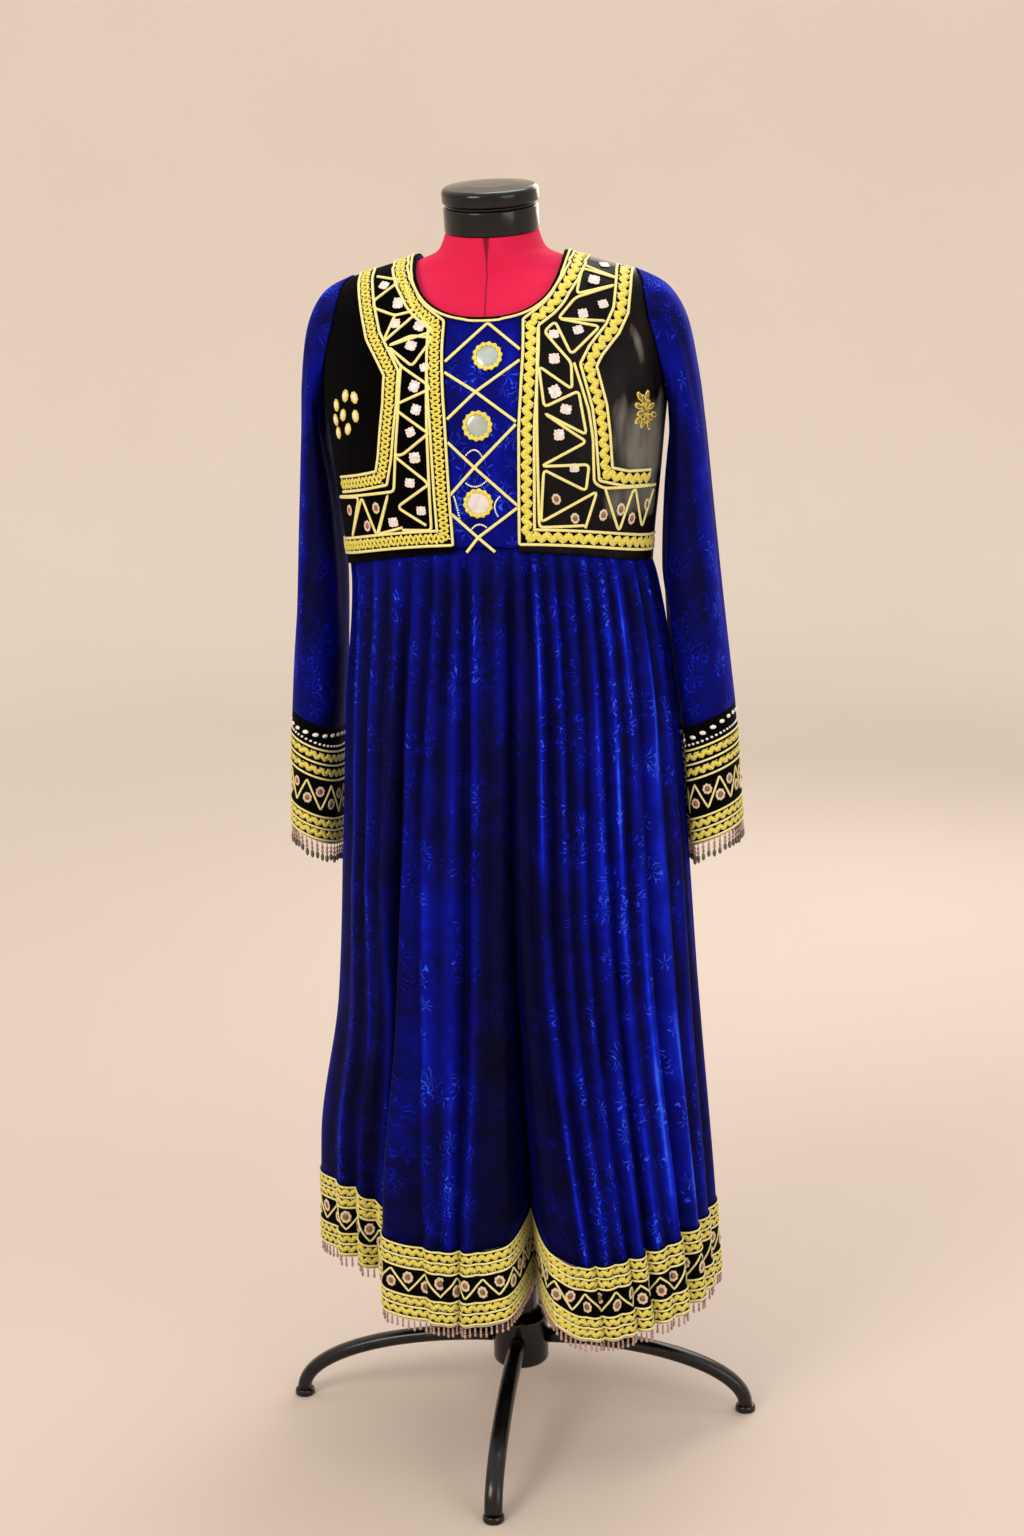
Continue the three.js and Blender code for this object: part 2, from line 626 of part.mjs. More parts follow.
function braidSection(width, back) {
  const half = width / 2;
  return [
    { across: -half, up: back },
    { across: half, up: back },
    { across: half, up: back + CORD_HEIGHT },
    { across: half - CORD_WIDTH, up: back + BRAID_THICK },
    { across: -half + CORD_WIDTH, up: back + BRAID_THICK },
    { across: -half, up: back + CORD_HEIGHT },
  ];
}

function cordSection(back) {
  const half = CORD_WIDTH / 2;
  return [
    { across: -half, up: back },
    { across: half, up: back },
    { across: half * 0.6, up: back + CORD_HEIGHT },
    { across: -half * 0.6, up: back + CORD_HEIGHT },
  ];
}

const WAIST_BRAID_FRONT = 13; // height of the braid's middle over the waist seam
const WAIST_BRAID_SIDE = 17;

// The inner braid: down the neckline, down the placket's edge and out along the waist
function innerBraidPath(side) {
  const half = BRAID_WIDTH / 2;
  const angleAt = (degrees) => (-90 + side * (90 - degrees)) * DEGREE;
  const path = [];
  const necklineStops = 10;
  const cornerAngle = 74;
  for (let k = 0; k <= necklineStops; k += 1) {
    const angle = angleAt(mix(5, cornerAngle, k / necklineStops));
    const line = bodiceLine(angle);
    path.push(bodicePoint(angle, line.at(line.whole - BINDING - 2 - half)));
  }
  const down = angleAt(78);
  const downLine = bodiceLine(down);
  const top = downLine.at(downLine.whole - BINDING - 4 - half);
  const bottom = waistHeight(down) + WAIST_BRAID_FRONT;
  const placketStops = 9;
  for (let k = 0; k <= placketStops; k += 1) {
    path.push(bodicePoint(down, mix(top, bottom, k / placketStops)));
  }
  const waistStops = 9;
  for (let k = 1; k <= waistStops; k += 1) {
    const angle = angleAt(mix(78, 4, k / waistStops));
    const above = mix(WAIST_BRAID_FRONT, WAIST_BRAID_SIDE, k / waistStops);
    path.push(bodicePoint(angle, waistHeight(angle) + above));
  }
  return path;
}

function makeTrims() {
  const braid = braidSection(BRAID_WIDTH, BRAID_BACK);
  const cord = cordSection(BRAID_BACK);
  const places = { right: -1, left: 1 };
  for (const [name, side] of Object.entries(places)) {
    add(`inner_braid_${name}`, sewn(innerBraidPath(side), braid), "gold_braid");
    const corners = OUTER_BRAID.map((row) => onFront({ x: row[`${name}X`], z: row[`${name}Z`] }));
    add(`outer_braid_${name}`, sewn(stretched(corners, 24, 4), braid), "gold_braid");
    const zigzag = (side < 0 ? ZIGZAG_RIGHT : ZIGZAG_LEFT).map(onFront);
    add(`zigzag_cord_${name}`, sewn(stretched(zigzag, 32, 3), cord), "cream_cord");
  }
  const lace = cordSection(0.5);
  const [one, two] = [LACE_ONE, LACE_TWO].map((rows) => {
    const corners = rows.map(onFront);
    return asManifold(sewn(stretched(corners, 36, 3), lace));
  });
  add("placket_lacing", fromManifold(one.add(two)), "cream_cord");
}

function makeMirrors() {
  const profile = [
    [0, 0],
    [MIRROR_RING, 0],
    [MIRROR_RING, 2.2],
    [MIRROR_GLASS, 2.8],
    [MIRROR_GLASS, 1.4],
    [0, 1.4],
  ].map(([radius, up]) => new THREE.Vector2(radius, up));
  MIRRORS.forEach((place, k) => {
    const centre = onFront(place);
    const normal = bodiceNormal(bodiceAngle(centre), place.z);
    const mesh = add(`placket_mirror_${k + 1}`, new THREE.LatheGeometry(profile, 12), "mirror");
    mesh.quaternion.setFromUnitVectors(new THREE.Vector3(0, 1, 0), normal);
    mesh.position.copy(centre).addScaledVector(normal, 0.5);
  });
}

function makeBinding() {
  const count = 40;
  const angles = Array.from({ length: count }, (_, k) => (k * 360 * DEGREE) / count);
  const lines = angles.map(bodiceLine);
  const row = (distance, height) =>
    angles.map((angle, c) => {
      const z = lines[c].at(lines[c].whole - distance);
      return bodicePoint(angle, z).addScaledVector(bodiceNormal(angle, z), height);
    });
  const back = VEST_GAP + 0.7;
  const outer = [row(BINDING, back + BRAID_THICK), row(0, back + BRAID_THICK)];
  const inner = [row(BINDING, back), row(0, back)];
  add("neck_binding", wall(outer, inner, true), "black_velvet");
}

// The skirt and hem band: a ring of points, four to a fold
function skirtRing(height) {
  const ring = [];
  FOLDS.forEach((fold, k) => {
    const next = FOLDS[(k + 1) % FOLDS.length];
    const turn = k === FOLDS.length - 1 ? 360 : 0;
    const angleOf = (row) => {
      const angles = [
        { z: HEM, at: row.hem },
        { z: FOLD_MIDDLE, at: row.mid },
        { z: WAIST, at: row.waist },
      ];
      return read(angles, "at", height);
    };
    const pushOf = (row) => {
      const pushes = [
        { z: HEM, at: row.deep },
        { z: FOLD_MIDDLE, at: row.fold },
        { z: GATHERS, at: row.gather },
        { z: WAIST, at: row.gather * 0.3 },
      ];
      return read(pushes, "at", height);
    };
    const ridges = [
      { z: HEM, at: fold.ridge },
      { z: HEM_BAND_TOP + 30, at: fold.ridge * 0.9 },
      { z: FOLD_MIDDLE, at: 0 },
    ];
    const ridgePush = read(ridges, "at", height);
    const from = angleOf(fold);
    const to = angleOf(next) + turn;
    const ridge = (from + to) / 2;
    const spots = [
      { angle: from, push: pushOf(fold), part: 0 },
      { angle: mix(from, ridge, 0.4), push: mix(ridgePush, pushOf(fold), 0.42), part: 0.25 },
      { angle: ridge, push: ridgePush, part: 0.5 },
      { angle: mix(to, ridge, 0.4), push: mix(ridgePush, pushOf(next), 0.42), part: 0.75 },
    ];
    for (const { angle, push, part } of spots) {
      const lift = mix(fold.lift, next.lift, part);
      ring.push(skirtPoint(angle * DEGREE, height, push, lift));
    }
  });
  return ring;
}

function skirtPoint(angle, height, push, lift) {
  const half = read(SKIRT, Math.cos(angle) < 0 ? "right" : "left", height);
  const depth = read(SKIRT, Math.sin(angle) < 0 ? "front" : "back", height);
  const x = half * rounded(Math.cos(angle), SKIRT_POWER);
  const y = depth * rounded(Math.sin(angle), SKIRT_POWER);
  const steep = SKIRT_POWER - 1;
  const normal = new THREE.Vector2(
    (Math.sign(x) * Math.abs(x / half) ** steep) / half,
    (Math.sign(y) * Math.abs(y / depth) ** steep) / depth,
  ).normalize();
  const down = Math.min((WAIST - height) / (WAIST - HEM_BAND_TOP), 1);
  const z = height + (waistHeight(angle) - WAIST) * (1 - down) ** 3 + lift * down ** 2;
  return new THREE.Vector3(x - normal.x * push, y - normal.y * push, z);
}

function shiftedEnds(grid) {
  return grid.map((row) => {
    const last = row.length - 1;
    const start = row[0].clone().lerp(row[1], (0.5 * SEAM) / row[0].distanceTo(row[1]));
    const end = row[last].clone().lerp(row[last - 1], (0.5 * SEAM) / row[last].distanceTo(row[last - 1]));
    return [start, ...row.slice(1, last), end];
  });
}

function makeSkirt() {
  const outer = SKIRT_ROWS.map(skirtRing).reverse();
  const top = outer[outer.length - 1];
  top.forEach((point) => {
    point.z -= SEAM + 0.1;
  });
  const inner = moved(outer, normals(outer, true), -VELVET);
  inner[inner.length - 1].forEach((point, c) => {
    point.z = top[c].z;
  });
  const hemSides = levelNormals(outer[0]);
  inner[0] = outer[0].map((point, c) => point.clone().addScaledVector(hemSides[c], -VELVET));
  const count = FOLDS.length * FOLD_COLUMNS;
  const leftSeam = FRONT_FOLDS * FOLD_COLUMNS - 2;
  const rightSeam = count - 2;
  const pick = (grid, from, to) =>
    grid.map((row) => Array.from({ length: to - from + 1 }, (_, k) => row[(from + k) % count].clone()));
  const front = [rightSeam, leftSeam + count];
  const back = [leftSeam, rightSeam];
  const half = (name, [from, to]) => {
    const outside = shiftedEnds(pick(outer, from, to));
    const inside = shiftedEnds(pick(inner, from, to));
    add(name, wall(outside, inside, false), "velvet");
  };
  half("skirt_front", front);
  half("skirt_back", back);
}

function relief(rows, top, bottom, directions) {
  return rows.map(({ at, up }) =>
    top.map((point, c) => point.clone().lerp(bottom[c], at).addScaledVector(directions[c], up * CUFF_RAISE)),
  );
}

// Which points of a ring stand out from the line between the ridges and fold bottoms beside them
function needed(ring, sideways, upwards) {
  const keep = ring.map((point, k) => {
    const before = ring[(k + ring.length - 1) % ring.length];
    const way = ring[(k + 1) % ring.length].clone().sub(before);
    const off = point.clone().sub(before);
    const flat = new THREE.Vector2(way.x, way.y);
    const along = (off.x * flat.x + off.y * flat.y) / flat.lengthSq();
    off.addScaledVector(way, -along);
    return k % 2 === 0 || Math.hypot(off.x, off.y) > sideways || Math.abs(off.z) > upwards;
  });
  return (row) => row.filter((_, k) => keep[k]);
}

function makeHemBand() {
  const pick = needed(skirtRing(HEM_BAND_TOP), 2.2, 0.15);
  const top = pick(skirtRing(HEM_BAND_TOP));
  top.forEach((point) => {
    point.z -= BAND_GAP;
  });
  const bottom = pick(skirtRing(HEM));
  bottom.forEach((point, c) => {
    point.z = top[c].z - HEM_BAND;
  });
  const directions = pick(levelNormals(skirtRing(HEM_BAND_TOP)));
  const outer = relief(BAND_RELIEF, top, bottom, directions);
  const inner = moved([top, bottom], [directions, directions], -VELVET);
  add("hem_band", wall(outer, inner, true), "black_velvet");
  return bottom;
}

function resampled(ring, count) {
  const lengths = [0];
  ring.forEach((point, k) => lengths.push(lengths[k] + point.distanceTo(ring[(k + 1) % ring.length])));
  const whole = lengths[ring.length];
  let k = 0;
  return Array.from({ length: count }, (_, n) => {
    const target = (whole * n) / count;
    while (lengths[k + 1] < target) k += 1;
    const part = (target - lengths[k]) / (lengths[k + 1] - lengths[k]);
    return ring[k].clone().lerp(ring[(k + 1) % ring.length], part);
  });
}

const FRINGE_THICK = 1.6;

// A narrow strip below a cloth edge with a drop hanging from every second stretch of it
function fringe(name, edge, strands, drop, gap) {
  const count = strands * 2;
  const ridge = resampled(edge, count).map((point) => point.setZ(point.z - gap));
  const sideways = levelNormals(ridge);
  const below = (distance) =>
    ridge.map((point, k) => {
      const beside = point.clone().addScaledVector(sideways[k], distance);
      return beside.setZ(point.z - STRIP_HEIGHT);
    });
  const outer = below(FRINGE_THICK / 2);
  const inner = below(-FRINGE_THICK / 2);
  const vertices = [...ridge, ...outer, ...inner];
  const triangles = [];
  const quad = (a, b, c, d) => triangles.push([a, b, c], [a, c, d]);
  for (let k = 0; k < count; k += 1) {
    const next = (k + 1) % count;
    quad(k, count + k, count + next, next);
    quad(next, 2 * count + next, 2 * count + k, k);
    const root = [count + k, 2 * count + k, 2 * count + next, count + next];
    if (k % 2 === 1) {
      quad(...root);
      continue;
    }
    const middle = root.reduce((sum, n) => sum.add(vertices[n]), new THREE.Vector3()).multiplyScalar(0.25);
    const tip = root.map((n) => {
      const point = vertices[n].clone().lerp(middle, 0.4);
      point.z -= drop - STRIP_HEIGHT;
      return vertices.push(point) - 1;
    });
    root.forEach((n, side) => quad(n, root[(side + 1) % 4], tip[(side + 1) % 4], tip[side]));
    quad(...tip);
  }
  add(name, body(vertices, triangles), "beads");
}

// Half width of what a sleeve hangs beside, at a depth and a height
function sideOf(y, z, side) {
  const depthKey = y < 0 ? "front" : "back";
  const reach = (rows, half, power) => {
    const ratio = Math.min(Math.abs(y) / read(rows, depthKey, z), 1);
    return half * (1 - ratio ** power) ** (1 / power);
  };
  const bodice = z > WAIST - 20 ? reach(BODICE, read(BODICE, "half", z), read(BODICE, "power", z)) : 0;
  const skirt = z < WAIST + 40 ? reach(SKIRT, read(SKIRT, side < 0 ? "right" : "left", z), SKIRT_POWER) : 0;
  return Math.max(bodice, skirt);
}

function sleeveRing(row, side, wide) {
  return Array.from({ length: SLEEVE_POINTS }, (_, k) => {
    const angle = (2 * Math.PI * k) / SLEEVE_POINTS;
    const outward = (1 + rounded(Math.cos(angle), SLEEVE_POWER)) / 2;
    const y = row.y + row.depth * rounded(Math.sin(angle), SLEEVE_POWER);
    const z = mix(row.inZ, row.outZ, outward);
    const x = mix(row.inX, row.outX + side * wide, outward);
    return new THREE.Vector3(side * Math.max(x, sideOf(y, z, side) + SLEEVE_CLEAR), y, z);
  });
}

function sleeveHead(side) {
  return Array.from({ length: SLEEVE_POINTS }, (_, k) => {
    const angle = (2 * Math.PI * k) / SLEEVE_POINTS;
    const y = ARMHOLE.y + (ARMHOLE.halfDepth + SLEEVE_HEAD) * Math.sin(angle);
    const z = ARMHOLE.z + (ARMHOLE.halfHeight + SLEEVE_HEAD) * Math.cos(angle);
    return lifted(new THREE.Vector3(side * sideOf(y, z, side), y, z), SLEEVE_STAND);
  });
}

function makeSleeve(name, side) {
  const wide = SLEEVE_UNEVEN;
  const rings = SLEEVE.map((row, k) => sleeveRing(row, side, wide * Math.min(k / 3, 1)));
  const end = sleeveRing(CUFF_END, side, wide);
  const grid = [...[sleeveHead(side), ...rings, end]].reverse();
  const directions = normals(grid, true).map((row) => row.map((n) => n.multiplyScalar(side)));
  const inner = moved(grid, directions, -SLEEVE_CLOTH);
  add(`sleeve_${name}`, wall(grid.slice(1), inner.slice(1), true), "velvet");

  const gap = (SEAM * 1.2) / (SLEEVE[SLEEVE.length - 1].outZ - CUFF_END.outZ);
  const top = grid[1].map((point, c) => point.clone().lerp(grid[0][c], gap));
  const raised = grid[0].map((point, c) => directions[0][c]);
  const outer = relief(CUFF_RELIEF, top, grid[0], raised);
  const innerTop = inner[1].map((point, c) => point.clone().lerp(inner[0][c], gap));
  add(`cuff_${name}`, wall(outer, [innerTop, inner[0]], true), "black_velvet");
  fringe(`cuff_fringe_${name}`, grid[0], CUFF_STRANDS, CUFF_FRINGE, CUFF_STRIP_GAP);
}

// The dress form and its stand
function makeForm() {
  const points = 26;
  const rings = FORM.map((row) =>
    Array.from({ length: points }, (_, k) => {
      const angle = (2 * Math.PI * k) / points;
      const depth = Math.sin(angle) < 0 ? row.front : row.back;
      const y = depth * rounded(Math.sin(angle), row.power);
      return new THREE.Vector3(row.half * rounded(Math.cos(angle), row.power), y, row.z + row.tilt * y);
    }),
  );
  add("form_torso", loft(rings), "crimson");

  const turned = (name, profile, segments, finish) => {
    const geometry = new THREE.LatheGeometry(profile.map(([r, z]) => new THREE.Vector2(r, z)), segments);
    geometry.rotateX(Math.PI / 2);
    return add(name, geometry, finish);
  };
  const r = NECK_RING_RADIUS;
  const ring = [[0, 0.4], [r - 1, 0.4], [r, 1.6], [r, 27.5], [r - 1.5, 29], [0, 29]];
  const dial = [
    [0, 29.3],
    [r - 2.5, 29.3],
    [r - 2.5, 32],
    [r + 1, 34],
    [r + 1.5, 47],
    [r - 2, 51],
    [30, 53.5],
    [0, 54],
  ];
  for (const [name, profile] of [["neck_ring", ring], ["neck_dial", dial]]) {
    const mesh = turned(name, profile, 26, "black_plastic");
    mesh.rotation.x = NECK_TILT * DEGREE;
    mesh.position.z = 1501;
  }
  const hub = [
    [0, HUB_BOTTOM],
    [HUB_RADIUS - 4, HUB_BOTTOM],
    [HUB_RADIUS, HUB_BOTTOM + 4],
    [HUB_RADIUS, HUB_TOP - 8],
    [HUB_RADIUS - 8, HUB_TOP],
    [0, HUB_TOP],
  ];
  turned("stand_hub", hub, 20, "black_steel");
  const collar = HUB_TOP + 32;
  const pole = [
    [0, HUB_TOP + SEAM],
    [POLE_RADIUS + 5, HUB_TOP + SEAM],
    [POLE_RADIUS + 5, collar],
    [POLE_RADIUS, collar + 4],
    [POLE_RADIUS, FORM[0].z - SEAM],
    [0, FORM[0].z - SEAM],
  ];
  turned("stand_pole", pole, 16, "black_steel");
  makeLegs();
}

function makeLegs() {
  const start = HUB_RADIUS + SEAM;
  const end = STAND_REACH - FOOT_RADIUS;
  const startHeight = HUB_BOTTOM + 34;
  const endHeight = FOOT_HEIGHT + SEAM;
  const halfWidth = 11;
  const halfHeight = 9;
  const bends = 7;
  const legSides = 6;
  for (let leg = 0; leg < 4; leg += 1) {
    const rings = [];
    for (let k = 0; k <= bends; k += 1) {
      const bend = (k / bends) * 90 * DEGREE;
      const centre = {
        x: mix(start, end, Math.sin(bend)),
        y: mix(endHeight, startHeight, Math.cos(bend)),
      };
      rings.push(
        Array.from({ length: legSides }, (_, side) => {
          const around = ((side + 0.5) / legSides) * 2 * Math.PI;
          const up = halfHeight * Math.sin(around);
          const x = centre.x + up * Math.sin(bend);
          return new THREE.Vector3(x, halfWidth * Math.cos(around), centre.y + up * Math.cos(bend));
        }),
      );
    }
    const turn = (leg * Math.PI) / 2;
    add(`stand_leg_${leg + 1}`, loft(rings), "black_steel").rotation.z = turn;
    const foot = new THREE.CylinderGeometry(FOOT_RADIUS, FOOT_RADIUS, FOOT_HEIGHT, 16);
    foot.rotateX(Math.PI / 2);
    foot.translate(end, 0, FOOT_HEIGHT / 2);
    add(`stand_foot_${leg + 1}`, foot, "black_plastic").rotation.z = turn;
  }
}

makeForm();
makeBodice();
makeBinding();
makeTrims();
makeMirrors();
makeSleeve("right", -1);
makeSleeve("left", 1);
makeSkirt();
const hemEdge = makeHemBand();
fringe("hem_fringe", hemEdge, HEM_STRANDS, HEM_FRINGE, HEM_STRIP_GAP);

export default dress;
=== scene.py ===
# %% [markdown]
# # An Afghan dress of blue velvet on its dress form
# The dress is cloth: a high bodice under black vest fronts, hanging sleeves with embroidered
# cuffs, a gathered skirt and an embroidered hem band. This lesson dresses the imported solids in
# thin cloth shells, then lays cords, braids, mirrors and beads on them. The cloth follows the
# same short tables of sizes as the solids do, so each piece sits where its solid is.

import math

import bmesh
import bpy
import numpy as np
from mathutils import Matrix, Vector


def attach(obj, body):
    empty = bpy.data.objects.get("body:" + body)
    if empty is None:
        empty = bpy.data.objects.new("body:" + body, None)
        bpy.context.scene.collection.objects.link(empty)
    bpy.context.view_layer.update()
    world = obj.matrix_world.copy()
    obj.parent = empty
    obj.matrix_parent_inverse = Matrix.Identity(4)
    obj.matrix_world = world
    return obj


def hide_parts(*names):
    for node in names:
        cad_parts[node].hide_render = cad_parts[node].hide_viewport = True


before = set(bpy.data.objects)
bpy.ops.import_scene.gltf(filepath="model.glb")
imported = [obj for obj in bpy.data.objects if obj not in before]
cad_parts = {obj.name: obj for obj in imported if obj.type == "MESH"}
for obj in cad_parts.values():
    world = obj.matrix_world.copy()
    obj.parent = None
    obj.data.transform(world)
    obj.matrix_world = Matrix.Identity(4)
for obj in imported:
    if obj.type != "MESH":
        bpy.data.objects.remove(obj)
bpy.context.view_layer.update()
METRE = 0.001  # the tables are in millimetres
print("nodes", len(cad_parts))

# %% [markdown]
# The camera comes first. The photograph was taken from a little above the bust and a little to
# the wearer's left, looking slightly down. A camera could be aimed with a constraint, but here
# its axes are worked out from three angles, so that the tilt of the picture is kept too.

# %% Camera
CAMERA_SIDE, CAMERA_DOWN, CAMERA_ROLL = (math.radians(angle) for angle in (7.5, 11.95, 1.5))
CAMERA_DISTANCE, CAMERA_HEIGHT = 2.68, 1.42
LENS = 51.84  # millimetres, on a 36 mm long side
side, cos_side = math.sin(CAMERA_SIDE), math.cos(CAMERA_SIDE)
look = Vector((-side * math.cos(CAMERA_DOWN), cos_side * math.cos(CAMERA_DOWN), -math.sin(CAMERA_DOWN)))
level = Vector((cos_side, side, 0))
upright = level.cross(look)
right = level * math.cos(CAMERA_ROLL) - upright * math.sin(CAMERA_ROLL)
up = upright * math.cos(CAMERA_ROLL) + level * math.sin(CAMERA_ROLL)
camera = bpy.data.objects.new("camera", bpy.data.cameras.new("camera"))
bpy.context.scene.collection.objects.link(camera)
camera.data.lens = LENS
camera.data.shift_x = 6 / 1536  # the picture's middle is 6 pixels from the stand's pole
bpy.context.scene.view_settings.view_transform = "Standard"
turn = Matrix((right, up, -look)).transposed()
place = CAMERA_DISTANCE * side, -CAMERA_DISTANCE * cos_side, CAMERA_HEIGHT
camera.matrix_world = Matrix.Translation(place) @ turn.to_4x4()
bpy.context.scene.camera = camera

# %% [markdown]
# Two kinds of helper come next. The first reads a table of sizes on a smooth curve that never
# overshoots, which is how the solids were made. The second lays a grid of points on a surface
# and finds which way the cloth faces there.

# %% Tables and curves
def curve(places, values, at):
    """Reads a table at any place, on a smooth curve through its rows."""
    places, values = np.asarray(places, float), np.asarray(values, float)
    at = np.clip(at, places[0], places[-1])
    slope = np.diff(values) / np.diff(places)
    product, total = slope[:-1] * slope[1:], slope[:-1] + slope[1:]
    inner = np.where(product > 0, 2 * product / np.where(total == 0, 1, total), 0)
    tangent = np.concatenate([slope[:1], inner, slope[-1:]])
    low = np.clip(np.searchsorted(places, at, side="left") - 1, 0, len(places) - 2)
    step = places[low + 1] - places[low]
    part = (at - places[low]) / step
    rise = part * part * (3 - 2 * part)
    bow = (1 - part) * tangent[low] - part * tangent[low + 1]
    return values[low] * (1 - rise) + values[low + 1] * rise + step * part * (1 - part) * bow


def sized(table, key, at):
    """Reads one column of a table of sizes at any height."""
    return curve(table["z"], table[key], at)


def signed(value, exponent):
    return np.sign(value) * np.abs(value) ** exponent


def smooth(value):
    value = np.clip(value, 0, 1)
    return value * value * (3 - 2 * value)


def round_turn(count):
    """Angles evenly spaced round a circle."""
    return np.linspace(0, 2 * np.pi, count, endpoint=False)


def grid_normals(points, closed):
    """Directions straight out of a grid of points whose columns run counter-clockwise."""
    if closed:
        across = np.roll(points, -1, 1) - np.roll(points, 1, 1)
    else:
        across = np.gradient(points, axis=1)
    upward = np.gradient(points, axis=0)
    normal = np.cross(across, upward)
    return normal / np.maximum(np.linalg.norm(normal, axis=-1, keepdims=True), 1e-9)


# %% Sizes of the dress and of the form, in millimetres
WAIST, WAIST_RISE = 1118, 22
BAND_TOP, BAND_DEEP = 300, 95
HEM = BAND_TOP - BAND_DEEP
NECK_HALF, NECK_TOP, NECK_POWER = 87, 1474, 2.4
NECK_FRONT, NECK_BACK = 74, 22
ARMHOLE_Y, ARMHOLE_Z, ARMHOLE_DEPTH, ARMHOLE_HEIGHT = 5, 1375, 53, 72
CLOTH = 1.6
VEST_LIFT = 0.6  # from the bodice to the back of the vest front
VEST_FACE = VEST_LIFT + CLOTH
BODICE = {
    "z": [1100, 1150, 1210, 1270, 1320, 1365, 1400, 1430, 1448, 1458, 1466, 1474, 1482],
    "half": [182, 186, 193, 199, 204, 205, 201, 190, 170, 140, 112, 87, 70],
    "front": [118, 124, 131, 133, 126, 110, 92, 76, 62, 52, 44, 40, 50],
    "back": [94, 97, 102, 107, 110, 108, 100, 86, 72, 58, 50, 44, 50],
    "power": [2.3, 2.3, 2.3, 2.3, 2.35, 2.4, 2.4, 2.3, 2.2, 2.1, 2.0, 2.0, 2.0],
}
SKIRT = {
    "z": [205, 350, 552, 745, 940, 1095, 1118],
    "right": [264, 258, 223, 206, 195, 182, 183],
    "left": [262, 253, 238, 227, 214, 190, 183],
    "front": [192, 186, 170, 155, 138, 124, 120],
    "back": [172, 165, 145, 128, 112, 100, 96],
}
SKIRT_POWER = 2.3
FOLD_MIDDLE, GATHERS = 725, 1085

# %% [markdown]
# Each row of the next table is one fold of the skirt, counter-clockwise from the right side
# seam round the front: the angle of its bottom at the waist, in the middle and at the hem, how
# far it is pushed in at those heights, how far the ridge after it is pushed in at the hem, and
# how much the hem is lifted there.

# %% Folds of the skirt
FOLDS = np.array([
    (-160, -156, -158, 5, 8, 30, 26, 36), (-142, -143, -149, 6, 9, 50, 42, 32),
    (-130, -133, -140, 6, 6, 66, 58, 19), (-119, -124, -131, 7, 26, 90, 0, 6),
    (-109, -114, -107, 7, 9, 6, 0, -6), (-102, -106, -103, 6, 5, 3, 1, -8),
    (-96, -97, -99, 8, 13, 13, 0, -8), (-90, -91, -94.8, 6, 6, 4, 0, -6),
    (-84, -86, -84, 8, 26, 124, 0, 12), (-78, -80, -68.6, 7, 8, 6, 2, -26),
    (-73, -74, -64, 6, 12, 10, 0, -28), (-67, -68, -58, 8, 6, 4, 1, -26),
    (-60, -62, -53, 6, 9, 12, 0, -24), (-53, -54, -46, 7, 13, 18, 2, -21),
    (-45, -46, -38, 6, 6, 7, 0, -17), (-36, -37, -29, 7, 14, 19, 0, -12),
    (-25, -24, -18, 6, 8, 12, 3, -8), (-12, -10, -8, 5, 7, 10, 0, -6),
    (5, 6, 5, 5, 9, 16, 2, -4), (16, 17, 17, 6, 7, 10, 0, 0),
    (27, 28, 30, 7, 15, 34, 0, 3), (37, 38, 40, 6, 6, 8, 1, 0),
    (47, 49, 51, 8, 12, 20, 0, -3), (57, 59, 62, 6, 17, 46, 0, 2),
    (67, 68, 72, 7, 6, 6, 0, -4), (77, 77, 80, 6, 11, 16, 1, -6),
    (87, 86, 87, 8, 7, 8, 0, -5), (98, 98, 97, 7, 21, 62, 0, 5),
    (109, 110, 108, 6, 8, 9, 2, 0), (120, 120, 118, 8, 10, 18, 0, 4),
    (131, 130, 129, 6, 15, 32, 0, 12), (142, 142, 142, 7, 7, 10, 3, 18),
    (153, 154, 155, 6, 12, 22, 2, 26), (165, 168, 170, 5, 8, 16, 10, 32),
], float)
FOLD_COUNT = len(FOLDS)
FRONT_FOLDS = 18


def waist_height(angle):
    return WAIST + WAIST_RISE * np.maximum(0, -np.sin(angle)) ** 2


def skirt_grid(heights, columns, gathers=True):
    """Rows of points down the skirt; a column is a place in the row of folds, 0 to 34."""
    heights = np.asarray(heights, float)
    first = np.floor(columns).astype(int) % FOLD_COUNT
    after = (first + 1) % FOLD_COUNT
    part = columns - np.floor(columns)
    shape = (len(heights), FOLD_COUNT)
    angle, push, ridge = np.zeros(shape), np.zeros(shape), np.zeros(shape)
    for k, (waist, mid, hem, gather, fold, deep, ridge_in, _) in enumerate(FOLDS):
        angle[:, k] = curve([HEM, FOLD_MIDDLE, WAIST], [hem, mid, waist], heights)
        stops = [HEM, FOLD_MIDDLE, GATHERS, WAIST]
        push[:, k] = curve(stops, [deep, fold, gather, gather * 0.3], heights)
        stops = [HEM, BAND_TOP + 30, FOLD_MIDDLE]
        ridge[:, k] = curve(stops, [ridge_in, ridge_in * 0.9, 0], heights)
    following = np.where(after == 0, 360, 0)
    way = angle[:, first] + (angle[:, after] + following - angle[:, first]) * part
    near = np.where(part < 0.5, part, 1 - part) * 2
    crest = 0.5 - 0.5 * np.cos(np.pi * near ** 0.65)
    valley = np.where(part < 0.5, push[:, first], push[:, after])
    inward = valley + (ridge[:, first] - valley) * crest
    lift = FOLDS[first, 7] + (FOLDS[after, 7] - FOLDS[first, 7]) * smooth(part)
    if gathers:
        inward = inward + small_folds(np.radians(way), heights[:, None], columns)
    return skirt_points(np.radians(way), heights[:, None], inward, lift), crest, way


